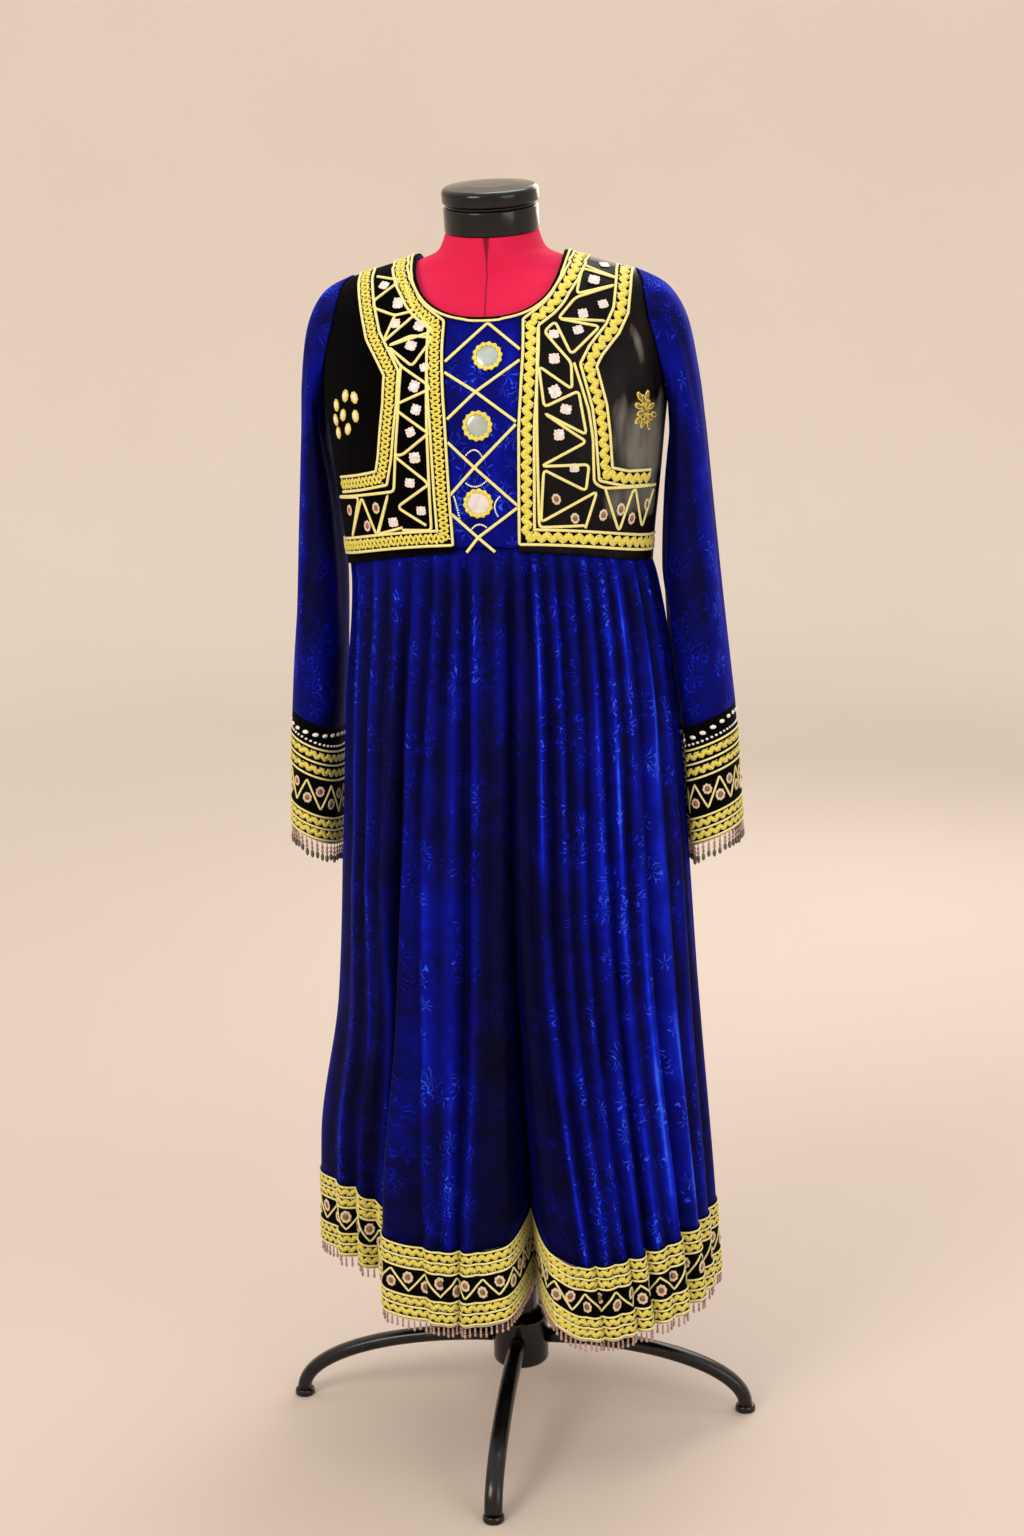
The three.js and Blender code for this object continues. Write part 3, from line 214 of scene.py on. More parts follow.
def skirt_points(angle, height, inward, lift):
    half = np.where(np.cos(angle) < 0, sized(SKIRT, "right", height), sized(SKIRT, "left", height))
    depth = np.where(np.sin(angle) < 0, sized(SKIRT, "front", height), sized(SKIRT, "back", height))
    x = half * signed(np.cos(angle), 2 / SKIRT_POWER)
    y = depth * signed(np.sin(angle), 2 / SKIRT_POWER)
    away_x = signed(x / half, SKIRT_POWER - 1) / half
    away_y = signed(y / depth, SKIRT_POWER - 1) / depth
    length = np.hypot(away_x, away_y)
    down = np.minimum((WAIST - height) / (WAIST - BAND_TOP), 1)
    z = height + (waist_height(angle) - WAIST) * (1 - down) ** 3 + lift * down**2
    return np.stack([x - away_x / length * inward, y - away_y / length * inward, z], -1)


# %% [markdown]
# The solids carry the large folds. Cloth also has small ones: fine gathers below the waist seam,
# and long soft troughs that start and end at different heights. They are listed here, and their
# depths stay well under the depth of the folds that they lie on.

# %% Small folds of the skirt: angle, top, bottom, half width, depth
SOFT_FOLDS = [
    (-151, 1060, 640, 7, 3), (-136, 980, 420, 9, 4), (-126, 1075, 760, 6, 3), (-115, 900, 380, 10, 4),
    (-105.5, 1080, 840, 5, 3), (-99, 760, 330, 9, 3), (-93.5, 1050, 620, 6, 3), (-88, 980, 700, 5, 2),
    (-81.5, 1070, 800, 5, 3), (-76, 820, 360, 8, 4), (-70, 1040, 660, 6, 3), (-64, 700, 340, 9, 4),
    (-57, 1085, 740, 6, 3), (-49, 900, 400, 9, 4), (-41, 1070, 690, 7, 3), (-31, 940, 460, 10, 4),
    (-19, 1050, 600, 8, 3), (-3, 1020, 520, 9, 3), (11, 900, 380, 9, 4), (22, 1060, 700, 7, 3),
    (33, 860, 420, 9, 4), (43, 1070, 640, 6, 3), (54, 950, 360, 9, 4), (63, 1060, 760, 6, 3),
    (73, 900, 420, 8, 3), (83, 1040, 560, 7, 3), (93, 1070, 700, 6, 3), (104, 880, 380, 9, 4),
    (114, 1060, 620, 7, 3), (126, 920, 440, 9, 4), (137, 1060, 700, 7, 3), (148, 880, 400, 9, 4),
    (160, 1040, 560, 8, 3), (174, 940, 480, 9, 3),
]


def small_folds(angle, height, columns):
    """How far the cloth is pushed in by fine gathers and soft troughs."""
    inward = np.zeros(np.broadcast(angle, height).shape)
    reach = 195  # mean distance of the cloth from the pole
    for middle, top, bottom, half, deep in SOFT_FOLDS:
        lean = 3 * np.sin(middle) * (height - bottom) / (top - bottom)
        apart = (np.degrees(angle) - middle - lean + 180) % 360 - 180
        share = np.exp(-((np.radians(apart) * reach / half) ** 2))
        window = smooth((height - bottom) / 160) * smooth((top - height) / 90)
        inward += deep * share * window
    fade = smooth((height - 990) / 80) * smooth((WAIST + 4 - height) / 30)
    ripples = np.sin(columns * 2 * np.pi * 2.3 + 2.1 * np.sin(columns * 1.9))
    return inward + fade * (0.6 + 0.5 * np.sin(columns * 2.3)) * ripples


# Wide patches of painted shade and painted light on the skirt: angle, half width at the top and hem,
# top, bottom, share (below zero painted shade, above zero painted light)
PAINTED_LIGHT_PATCHES = [
    (-86, 3, 11, 960, 150, -0.85), (-124, 4, 7, 1060, 150, -0.6), (-142, 6, 8, 1000, 150, -0.35),
    (-110, 6, 9, 860, 420, 0.3), (-100, 4, 5, 640, 200, 0.12), (-72, 4, 6, 1000, 560, -0.3),
    (-56, 6, 8, 1000, 300, 0.12), (-34, 7, 9, 1060, 260, 0.25), (98, 5, 9, 1000, 150, -0.6),
    (59, 4, 7, 980, 150, -0.4), (28, 4, 6, 960, 150, -0.35), (131, 4, 6, 980, 150, -0.35),
    (80, 6, 8, 900, 300, 0.2), (112, 6, 8, 860, 300, 0.2), (150, 6, 8, 1000, 400, 0.15),
]


def skirt_painted_light(columns, heights, crest, way):
    """Painted light and shade on the pile: painted shade in the valleys, lighter dull ridges and narrow
    painted highlight streaks on some.
    """
    chance = np.random.default_rng(5)
    strength, middle, first, second = (chance.uniform(*ends, FOLD_COUNT) for ends in
                                       ((0.15, 1.0), (0.36, 0.64), (0, 6.3), (0, 6.3)))
    k = np.floor(columns).astype(int) % FOLD_COUNT
    part = columns - np.floor(columns)
    z = np.asarray(heights)[:, None]
    long_wave = 0.55 + 0.45 * np.sin(z / 95 + first[k])
    short_wave = 0.7 + 0.3 * np.sin(z / 31 + second[k])
    # A narrow painted highlight streak and a broader painted glow on some ridges, lighter crests, and
    # painted shade in the valleys
    streak = np.exp(-(((part - middle[k]) / 0.085) ** 2)) * strength[k] * long_wave * short_wave
    glow = np.exp(-(((part - middle[k]) / 0.24) ** 2)) * strength[k]
    nap = 0.2 + 0.16 * crest + 0.2 * glow + 0.5 * streak
    for angle, top_half, hem_half, top, bottom, share in PAINTED_LIGHT_PATCHES:
        half = top_half + (hem_half - top_half) * np.clip((WAIST - z) / (WAIST - HEM), 0, 1)
        apart = (way - angle + 180) % 360 - 180
        patch = np.exp(-((apart / half) ** 2)) * smooth((z - bottom) / 120) * smooth((top - z) / 240)
        nap = nap * (1 + share * patch) if share < 0 else nap + share * patch
    # Near the waist the painted light evens out to a middle tone, with faint painted light and shade on
    # the ripples of the gathers
    seam = smooth((z - 1060) / 60)
    ripples = 0.05 * np.sin(columns * 2 * np.pi * 2.3 + 2.1 * np.sin(columns * 1.9))
    return np.clip(nap * (1 - 0.75 * seam) + (0.42 + ripples) * 0.75 * seam, 0, 1)

# %% [markdown]
# The bodice follows its own table. A point on it is found from an angle round the body and a
# height. Things sewn on it are placed by how far left or right and how high they are seen from
# the front, and then lifted off the cloth along the direction it faces.

# %% The bodice's surface
PLACKET_ANGLE = 9
BINDING = 5


def bodice_points(angle, height):
    height = height + 0 * angle
    power = sized(BODICE, "power", height)
    depth = np.where(np.sin(angle) < 0, sized(BODICE, "front", height), sized(BODICE, "back", height))
    x = sized(BODICE, "half", height) * signed(np.cos(angle), 2 / power)
    return np.stack([x, depth * signed(np.sin(angle), 2 / power), height], -1)


def bodice_normals(angle, height):
    across = bodice_points(angle + 0.02, height) - bodice_points(angle - 0.02, height)
    upward = bodice_points(angle, height + 1) - bodice_points(angle, height - 1)
    normal = np.cross(across, upward)
    return normal / np.linalg.norm(normal, axis=-1, keepdims=True)


def bodice_angles(points):
    height = points[:, 2]
    power = sized(BODICE, "power", height)
    half = sized(BODICE, "half", height)
    depth = np.where(points[:, 1] < 0, sized(BODICE, "front", height), sized(BODICE, "back", height))
    return np.arctan2(signed(points[:, 1] / depth, power / 2), signed(points[:, 0] / half, power / 2))


def on_front(places):
    """Points on the bodice's front from pairs of x and z."""
    x, z = np.asarray(places, float).T
    power = sized(BODICE, "power", z)
    ratio = np.minimum(np.abs(x) / sized(BODICE, "half", z), 0.9999)
    y = -sized(BODICE, "front", z) * (1 - ratio**power) ** (1 / power)
    return np.stack([x, y, z], -1)


def raised(points, height):
    """Moves points near the bodice to a height above its cloth, and gives the way it faces."""
    angle = bodice_angles(points)
    normal = bodice_normals(angle, points[:, 2])
    return bodice_points(angle, points[:, 2]) + normal * height, normal


def neckline_heights(angles):
    depth = np.where(np.sin(angles) < 0, NECK_FRONT, NECK_BACK).astype(float)
    low, high = NECK_TOP - depth, np.full(len(angles), float(NECK_TOP))
    for _ in range(40):
        middle = (low + high) / 2
        half = NECK_HALF * (1 - ((NECK_TOP - middle) / depth) ** NECK_POWER) ** (1 / NECK_POWER)
        inside = np.abs(bodice_points(angles, middle)[:, 0]) > half
        low, high = np.where(inside, middle, low), np.where(inside, high, middle)
    return (low + high) / 2


def bodice_grid(angles, rows, extend=0, trim_top=0, height=0):
    """Rows of points from the waist, or below it, to the neckline, evenly spaced on the cloth."""
    bottom, top = waist_height(angles) - extend, neckline_heights(angles)
    fine = np.linspace(0, 1, 161)[:, None]
    heights = bottom + (top - bottom) * fine
    line = bodice_points(angles[None, :], heights)
    steps = np.linalg.norm(np.diff(line, axis=0), axis=-1)
    length = np.vstack([np.zeros(len(angles)), np.cumsum(steps, 0)])
    chosen = np.empty((rows, len(angles)))
    for c in range(len(angles)):
        ends = 0, length[-1, c] - trim_top
        chosen[:, c] = np.interp(np.linspace(*ends, rows), length[:, c], heights[:, c])
    points = bodice_points(angles[None, :], chosen)
    return points + bodice_normals(angles[None, :] + 0 * chosen, chosen) * height


# %% [markdown]
# Materials. Velvet is a pile of short upright threads: it is dark when seen from above and
# glows at grazing angles, which a sheen layer gives. The blue velvet was also stamped with
# small flowers of short strokes. They are drawn here in cells of a Voronoi pattern, as rays
# round each cell's middle. A value stored on the cloth paints light and shade into the colour:
# painted highlights on the fold ridges and in narrow streaks, painted shade in the valleys. One
# function adds every node. A texture's scale is the number of its patches in a metre, so 38
# gives patches of 26 mm.

# %% Helpers for materials
def linear(code):
    """An sRGB colour like "#0a0f8c" as the renderer's linear values."""
    values = [int(code[k : k + 2], 16) / 255 for k in (1, 3, 5)]
    values = [v / 12.92 if v <= 0.04045 else ((v + 0.055) / 1.055) ** 2.4 for v in values]
    return (*values, 1)


MATH, VECTOR_MATH, MIX = "ShaderNodeMath", "ShaderNodeVectorMath", "ShaderNodeMix"
NOISE, RANGE, BUMP = "ShaderNodeTexNoise", "ShaderNodeMapRange", "ShaderNodeBump"


def set_inputs(tree, node, links):
    """Sets inputs to plain values, or links them to sockets; a node stands for its first output."""
    for key, value in links.items():
        if isinstance(value, bpy.types.Node):
            value = value.outputs[0]
        if isinstance(value, bpy.types.NodeSocket):
            tree.links.new(value, node.inputs[key])
        else:
            node.inputs[key].default_value = value


def add_node(tree, kind, links=None, **settings):
    """Adds a node: settings are its properties, and links are what its inputs get."""
    node = tree.nodes.new(kind)
    for name, value in settings.items():
        setattr(node, name, value)
    set_inputs(tree, node, links or {})
    return node


def new_material(name, coordinates="UV"):
    """A material's tree and shader, with the coordinates that its patterns follow."""
    material = bpy.data.materials.new(name)
    material.use_nodes = True
    tree = material.node_tree
    where = add_node(tree, "ShaderNodeTexCoord").outputs[coordinates]
    return material, tree, tree.nodes["Principled BSDF"], where


# %% Blue velvet
def flower_strokes(tree, where, scale, petals, chance_from):
    """Where the stamped strokes are: thin rays round the middles of some Voronoi cells."""
    cells = add_node(tree, "ShaderNodeTexVoronoi", {"Vector": where, "Scale": scale, "Randomness": 0.9})
    links = {0: where, 1: cells.outputs["Position"]}
    offset = add_node(tree, VECTOR_MATH, links, operation="SUBTRACT")
    parts = add_node(tree, "ShaderNodeSeparateXYZ", {0: offset})
    links = {0: parts.outputs[1], 1: parts.outputs[0]}
    angle = add_node(tree, MATH, links, operation="ARCTAN2")
    sway = add_node(tree, NOISE, {"Vector": where, "Scale": 70, "Detail": 2})
    bent = add_node(tree, MATH, {0: sway, 1: 2.6, 2: angle}, operation="MULTIPLY_ADD")
    turns = add_node(tree, MATH, {0: bent, 1: petals}, operation="MULTIPLY")
    rays = add_node(tree, MATH, {0: turns}, operation="SINE")
    chance = add_node(tree, "ShaderNodeSeparateColor", {0: cells.outputs["Color"]})
    limits = [
        (cells.outputs["Distance"], 0.16, 0.22),  # a bare middle
        (cells.outputs["Distance"], 0.52, 0.42),  # the tips of the petals
        (rays, 0.8, 0.97),  # how thin each stroke is
        (chance, chance_from, chance_from + 0.1),  # how many cells stay empty
    ]
    mask = 1.0
    for value, low, high in limits:
        links = {"Value": value, "From Min": low, "From Max": high}
        share = add_node(tree, RANGE, links)
        mask = add_node(tree, MATH, {0: share, 1: mask}, operation="MULTIPLY")
    return mask


def velvet_blue():
    """Crushed and stamped velvet, with painted shade that makes the valleys nearly black and painted
    light that makes the ridges bright blue.
    """
    material, tree, shader, where = new_material("blue_embossed_velvet")
    nap = add_node(tree, "ShaderNodeAttribute", attribute_name="nap").outputs["Fac"]
    daisies = flower_strokes(tree, where, 24, 9.0, 0.25)  # one in each 42 mm
    leaves = flower_strokes(tree, where, 38, 5.0, 0.5)  # short stalks and leaves, each 26 mm
    strokes = add_node(tree, MATH, {0: daisies, 1: leaves}, operation="MAXIMUM")
    broad = add_node(tree, NOISE, {"Vector": where, "Scale": 11, "Detail": 5})
    narrow = add_node(tree, NOISE, {"Vector": where, "Scale": 60, "Detail": 3})
    crushed = add_node(tree, MATH, {0: narrow, 1: 0.45, 2: broad}, operation="MULTIPLY_ADD")
    uneven = add_node(tree, MATH, {0: crushed, 1: 0.71}, operation="SUBTRACT")
    # The stored value paints light and shade into the tone; the stamped strokes are brighter where it
    # paints light
    tone = add_node(tree, MATH, {0: uneven, 1: 0.6, 2: nap}, operation="MULTIPLY_ADD")
    brighter = add_node(tree, MATH, {0: nap, 1: 0.2}, operation="ADD")
    lit = add_node(tree, MATH, {0: strokes, 1: brighter}, operation="MULTIPLY")
    tone = add_node(tree, MATH, {0: lit, 1: 0.62, 2: tone}, operation="MULTIPLY_ADD")
    ramp = add_node(tree, "ShaderNodeValToRGB", {"Fac": tone})
    stops = [(0.0, "#00000a"), (0.3, "#01023a"), (0.58, "#02087e"), (0.82, "#0820c0"), (1.0, "#2c55e4")]
    for position, colour in stops[2:]:
        ramp.color_ramp.elements.new(position)
    for element, (position, colour) in zip(ramp.color_ramp.elements, stops):
        element.position, element.color = position, linear(colour)
    # The pile's tufts are drawn 1.4 mm wide, coarser than real ones of 0.3 mm, so that they show
    fuzz = add_node(tree, NOISE, {"Vector": where, "Scale": 700, "Detail": 2})
    relief = add_node(tree, MATH, {0: strokes, 1: -1.5, 2: fuzz}, operation="MULTIPLY_ADD")
    bump = add_node(tree, BUMP, {"Height": relief, "Distance": 0.0004, "Strength": 0.7})
    set_inputs(tree, shader, {
        "Base Color": ramp, "Normal": bump,
        "Roughness": 0.7,  # crushed pile gives only broad highlights
        "Specular IOR Level": 0.06,
        "Sheen Weight": 0.22, "Sheen Roughness": 0.3, "Sheen Tint": linear("#0c28ff"),
    })
    return material


# %% [markdown]
# The black cloths are plainer. The vest's right front is a deep velvet, its left front a satin
# with a grey reflection painted on where it curves away, and the cuffs and hem band are a dull
# black cloth.

# %% Black cloths
def black_cloth(name, colour, second, sheen, weave, gloss):
    """A dull woven cloth of two near blacks, with threads along both directions of its cut."""
    material, tree, shader, where = new_material(name)
    patches = add_node(tree, NOISE, {"Vector": where, "Scale": 14, "Detail": 5})
    tone = add_node(tree, RANGE, {"Value": patches, "From Min": 0.4, "From Max": 0.7})
    share = add_node(tree, MATH, {0: tone, 1: 0.35}, operation="MULTIPLY")
    links = {0: share, 6: linear(colour), 7: linear(second)}
    mixed = add_node(tree, MIX, links, data_type="RGBA").outputs[2]
    parts = add_node(tree, "ShaderNodeSeparateXYZ", {0: where})
    threads = {}
    for axis in (0, 1):
        links = {0: parts.outputs[axis], 1: weave}
        turns = add_node(tree, MATH, links, operation="MULTIPLY")
        threads[axis] = add_node(tree, MATH, {0: turns}, operation="SINE")
    woven = add_node(tree, MATH, threads, operation="MULTIPLY")
    relief = add_node(tree, MATH, {0: patches, 1: 2.0, 2: woven}, operation="MULTIPLY_ADD")
    bump = add_node(tree, BUMP, {"Height": relief, "Distance": 0.0002, "Strength": 0.5})
    set_inputs(tree, shader, {
        "Base Color": mixed, "Normal": bump,
        "Roughness": 0.9, "Specular IOR Level": gloss, "Sheen Weight": sheen,
    })
    return material


def black_satin():
    """Satin: long smooth floats of thread that shine, with soft creases running down it, and a painted
    grey reflection.
    """
    material, tree, shader, where = new_material("black_satin")
    links = {0: where, 1: (26.0, 7.0, 1.0)}  # streaks 38 mm wide and 140 mm long
    stretch = add_node(tree, VECTOR_MATH, links, operation="MULTIPLY")
    streaks = add_node(tree, NOISE, {"Vector": stretch, "Scale": 1.0, "Detail": 5.0})
    tone = add_node(tree, RANGE, {"Value": streaks, "From Min": 0.42, "From Max": 0.68})
    # The stored value is a painted reflection; grey is mixed into the colour where it is high
    painted_reflection = add_node(tree, "ShaderNodeAttribute", attribute_name="nap").outputs["Fac"]
    painted_reflection = add_node(tree, MATH, {0: painted_reflection, 1: 1.7}, operation="MULTIPLY")
    dull = add_node(tree, MATH, {0: 0.95, 1: tone}, operation="SUBTRACT")
    shine = add_node(tree, MATH, {0: painted_reflection, 1: dull}, operation="SUBTRACT")
    share = add_node(tree, RANGE, {"Value": shine, "From Min": 0.0, "From Max": 0.9})
    warm = add_node(tree, MATH, {0: tone, 1: 0.7}, operation="MULTIPLY")
    links = {0: warm, 6: linear("#040303"), 7: linear("#1c1013")}
    brown = add_node(tree, MIX, links, data_type="RGBA").outputs[2]
    # The grey is the colour of the painted reflection
    links = {0: share, 6: brown, 7: linear("#6a6b64")}
    mixed = add_node(tree, MIX, links, data_type="RGBA").outputs[2]
    bump = add_node(tree, BUMP, {"Height": streaks, "Distance": 0.004, "Strength": 0.55})
    set_inputs(tree, shader, {
        "Base Color": mixed, "Normal": bump,
        "Roughness": 0.42, "Specular IOR Level": 0.1, "Anisotropic": 0.4,
    })
    return material


# %% Threads, glass, beads, form and stand
def thread(name, colour, shade, twist):
    """Twisted thread: fine slanting ridges, with painted shade in the grooves."""
    material, tree, shader, where = new_material(name, "Object")
    grain = add_node(tree, NOISE, {"Vector": where, "Scale": twist, "Detail": 3})
    groove = add_node(tree, RANGE, {"Value": grain, "From Min": 0.35, "From Max": 0.6})
    links = {0: groove, 6: linear(shade), 7: linear(colour)}
    mixed = add_node(tree, MIX, links, data_type="RGBA").outputs[2]
    bump = add_node(tree, BUMP, {"Height": grain, "Distance": 0.0006, "Strength": 0.8})
    set_inputs(tree, shader, {
        "Base Color": mixed, "Normal": bump, "Roughness": 0.65, "Sheen Weight": 0.2,
    })
    return material


def glossy(name, colour, second, rough, metal=0.0, coat=0.0, scale=60, through=0.0, gloss=0.5):
    """A smooth hard surface with faint cloudiness in its colour and its polish."""
    material, tree, shader, where = new_material(name, "Object")
    cloud = add_node(tree, NOISE, {"Vector": where, "Scale": scale, "Detail": 4})
    tone = add_node(tree, RANGE, {"Value": cloud, "From Min": 0.38, "From Max": 0.66})
    links = {0: tone, 6: linear(colour), 7: linear(second)}
    mixed = add_node(tree, MIX, links, data_type="RGBA").outputs[2]
    links = {"Value": cloud, "To Min": rough * 0.75, "To Max": rough * 1.25}
    polish = add_node(tree, RANGE, links)
    set_inputs(tree, shader, {
        "Base Color": mixed, "Roughness": polish, "Metallic": metal, "Coat Weight": coat,
        "Specular IOR Level": gloss, "Transmission Weight": through,
    })
    return material


def jersey():
    """Knitted jersey pulled smooth over the form: fine ribs of stitches, a soft matt face."""
    material, tree, shader, where = new_material("crimson_jersey")
    patches = add_node(tree, NOISE, {"Vector": where, "Scale": 6, "Detail": 3})
    links = {0: patches, 6: linear("#bd0f3c"), 7: linear("#de1c4f")}
    cloth_red = add_node(tree, MIX, links, data_type="RGBA").outputs[2]
    # The seam down the centre front is a thin dark line, which widens into a narrow wedge of painted
    # shade under the neck ring
    at = add_node(tree, "ShaderNodeTexCoord").outputs["Object"]
    at = add_node(tree, "ShaderNodeSeparateXYZ", {0: at})
    off = add_node(tree, MATH, {0: at.outputs[0]}, operation="ABSOLUTE")
    links = {"Value": at.outputs[2], "From Min": 1.462, "From Max": 1.5, "To Max": 0.004}
    painted_shade_wedge = add_node(tree, RANGE, links)
    near = add_node(tree, MATH, {0: off, 1: painted_shade_wedge}, operation="SUBTRACT")
    line = add_node(tree, RANGE, {"Value": near, "From Min": 0.0012, "From Max": 0.0003})
    seam = add_node(tree, MATH, {0: line, 1: 0.75}, operation="MULTIPLY")
    links = {0: seam, 6: cloth_red, 7: linear("#3a0410")}
    mixed = add_node(tree, MIX, links, data_type="RGBA").outputs[2]
    parts = add_node(tree, "ShaderNodeSeparateXYZ", {0: where})
    stitches = []
    for axis, pitch in ((0, 4200.0), (1, 5200.0)):  # a rib each 1.5 mm and a row each 1.2 mm
        links = {0: parts.outputs[axis], 1: pitch}
        turns = add_node(tree, MATH, links, operation="MULTIPLY")
        stitches.append(add_node(tree, MATH, {0: turns}, operation="SINE"))
    links = {0: stitches[1], 1: 0.5, 2: stitches[0]}
    relief = add_node(tree, MATH, links, operation="MULTIPLY_ADD")
    bump = add_node(tree, BUMP, {"Height": relief, "Distance": 0.00015, "Strength": 0.4})
    set_inputs(tree, shader, {
        "Base Color": mixed, "Normal": bump, "Roughness": 0.75, "Specular IOR Level": 0.2,
        "Sheen Weight": 0.15, "Sheen Tint": linear("#ff5a80"),
    })
    return material


# The threads of the black cloths are drawn 1.2 and 2.4 mm apart, as coarse as they need to show.
# The embroidery threads have grooves of about 1 mm.
BLUE = velvet_blue()
BLACK_VELVET = black_cloth("black_velvet", "#010101", "#060406", 0.015, 5200, 0.03)
BLACK_SATIN = black_satin()
BLACK_BAND = black_cloth("black_band_cloth", "#020202", "#080606", 0.01, 2600, 0.04)
GOLD = thread("gold_rick_rack", "#ece25a", "#b5a334", 900)
CREAM = thread("cream_cord", "#f3ee9e", "#cfc266", 1100)
ROSE_CREAM = thread("rose_cream_thread", "#eddcc0", "#b8977a", 1300)
PALE = thread("pale_thread", "#f3ebe2", "#d2c0ac", 1300)
WHITE = glossy("white_glass_bead", "#f4f1ee", "#dcd6d2", 0.25, coat=0.3, scale=300)
AMBER = glossy("amber_bead", "#8d6a34", "#5e421d", 0.25, coat=0.5, scale=300)
DROP = glossy("rose_glass_bead", "#c9a79a", "#a9826f", 0.18, coat=0.6, scale=260, through=0.25)
DARK_DROP = glossy("olive_glass_bead", "#3d382a", "#6a5f40", 0.15, coat=0.7, scale=260)
GLASS = glossy("mirror_glass", "#a9bdb4", "#c4d0d0", 0.15, metal=0.6, scale=55)
PALE_GLASS = glossy("pale_mirror_glass", "#e6dcdc", "#cfd0d2", 0.2, metal=0.2, scale=120)
PLASTIC = glossy("black_gloss_plastic", "#030304", "#07080a", 0.18, coat=0.2, scale=40, gloss=0.3)
STEEL = glossy("black_painted_steel", "#060607", "#0c0c0e", 0.28, coat=0.2, scale=30, gloss=0.3)
JERSEY = jersey()
print("materials", len(bpy.data.materials))

# %% [markdown]
# Cloth pieces are thin shells. A grid of points gives the outer face, a Solidify modifier gives
# it the cloth's thickness, and the piece is then fixed as a plain mesh. UVs are in metres along
# the cloth, so that every weave has its real scale.

# %% Making cloth from grids
def mesh_object(name, points, faces, material, uv=None, values=None):
    """A smooth mesh from points in millimetres, with its UVs and any values stored on its points."""
    mesh = bpy.data.meshes.new(name)
    mesh.from_pydata((np.asarray(points, float).reshape(-1, 3) * METRE).tolist(), [], faces)
    obj = bpy.data.objects.new(name, mesh)
    bpy.context.scene.collection.objects.link(obj)
    mesh.materials.append(material)
    mesh.shade_smooth()
    if uv is not None:
        corners = np.empty(len(mesh.loops), int)
        mesh.loops.foreach_get("vertex_index", corners)
        layer = mesh.uv_layers.new(name="UVMap")
        layer.uv.foreach_set("vector", (uv.reshape(-1, 2)[corners] * METRE).ravel())
    for key, value in (values or {}).items():
        attribute = mesh.attributes.new(key, "FLOAT", "POINT")
        attribute.data.foreach_set("value", np.asarray(value, float).ravel())
    return obj


def face_outwards(obj):
    """Turns the faces of a closed mesh outwards."""
    work = bmesh.new()
    work.from_mesh(obj.data)
    bmesh.ops.recalc_face_normals(work, faces=work.faces)
    work.to_mesh(obj.data)
    work.free()


def apply_modifiers(obj):
    """Fixes an object's modifiers into its mesh."""
    graph = bpy.context.evaluated_depsgraph_get()
    finished = obj.evaluated_get(graph)
    made = bpy.data.meshes.new_from_object(finished, preserve_all_data_layers=True, depsgraph=graph)
    obj.modifiers.clear()
    old = obj.data
    made.name = old.name
    obj.data = made
    bpy.data.meshes.remove(old)


def grid_faces(rows, columns, closed):
    faces = []
    for r in range(rows - 1):
        for c in range(columns if closed else columns - 1):
            after = (c + 1) % columns
            low, high = r * columns, (r + 1) * columns
            faces.append((low + c, low + after, high + after, high + c))
    return faces


def grid_uv(points, closed):
    """Distances along and across the cloth, measured on the middle row and on each column."""
    rows, columns = points.shape[:2]
    middle = points[rows // 2]
    last = middle[:1] if closed else middle[-1:]
    along = np.linalg.norm(np.diff(middle, axis=0, append=last), axis=1)
    u = np.concatenate([[0], np.cumsum(along)[:-1]])
    steps = np.linalg.norm(np.diff(points, axis=0), axis=-1)
    v = np.vstack([np.zeros(columns), np.cumsum(steps, 0)])
    return np.stack([np.broadcast_to(u, (rows, columns)), v], -1)


def cloth(name, points, closed, material, nap, cutters=(), flip=False):
    """A cloth shell whose outer face is a grid of points, cut by any cutters."""
    faces = grid_faces(*points.shape[:2], closed)
    if flip:
        faces = [face[::-1] for face in faces]
    obj = mesh_object(name, points, faces, material, grid_uv(points, closed), {"nap": nap})
    shell = obj.modifiers.new("thickness", "SOLIDIFY")
    shell.thickness = CLOTH * METRE
    shell.offset = -1
    for cutter in cutters:
        cut = obj.modifiers.new("armhole", "BOOLEAN")
        cut.operation, cut.solver, cut.object = "DIFFERENCE", "EXACT", cutter
    apply_modifiers(obj)
    return obj


def surface_area(obj):
    return sum(face.area for face in obj.data.polygons)


# %% Armholes
def armhole_cutter(side):
    """An oval cylinder that cuts the armhole out of the bodice and the vest front."""
    count = 96
    turns = round_turn(count)
    depths = ARMHOLE_Y + ARMHOLE_DEPTH * np.cos(turns)
    heights = ARMHOLE_Z + ARMHOLE_HEIGHT * np.sin(turns)
    inner, outer = 120, 260  # how far out the cutter starts and ends
    points = [(side * x, y, z) for x in (inner, outer) for y, z in zip(depths, heights)]
    faces = grid_faces(2, count, True)
    faces += [tuple(range(count - 1, -1, -1)), tuple(range(count, 2 * count))]
    obj = mesh_object(f"armhole_cutter_{side}", points, faces, BLUE)
    face_outwards(obj)
    return obj


# %% [markdown]
# The bodice. On the real dress the front and back are cut flat and joined at the sides and the
# shoulders. Here each is one sheet over the same form, its seam at the side.

# %% Bodice and vest fronts
SEAM_GAP = 0.15  # half the gap between the front's and the back's edges at the side seam


def front_kept(points):
    points[..., 1] = np.minimum(points[..., 1], -SEAM_GAP)
    return points


def bodice_relief(points):
    """Drag lines: shallow folds that run from the armhole to the bust and under the arm."""
    x, z = points[..., 0], points[..., 2]
    inward = np.zeros(x.shape)
    for start, end, half, deep in DRAGS:
        a, b = np.array(start, float), np.array(end, float)
        way = (b - a) / np.linalg.norm(b - a)
        for mirror in (-1, 1):
            dx, dz = x * mirror - a[0], z - a[1]
            along = (dx * way[0] + dz * way[1]) / np.linalg.norm(b - a)
            apart = dx * way[1] - dz * way[0]
            drag = deep * np.exp(-((apart / half) ** 2))
            inward += drag * smooth(along * 4) * smooth((1 - along) * 4)
    return inward


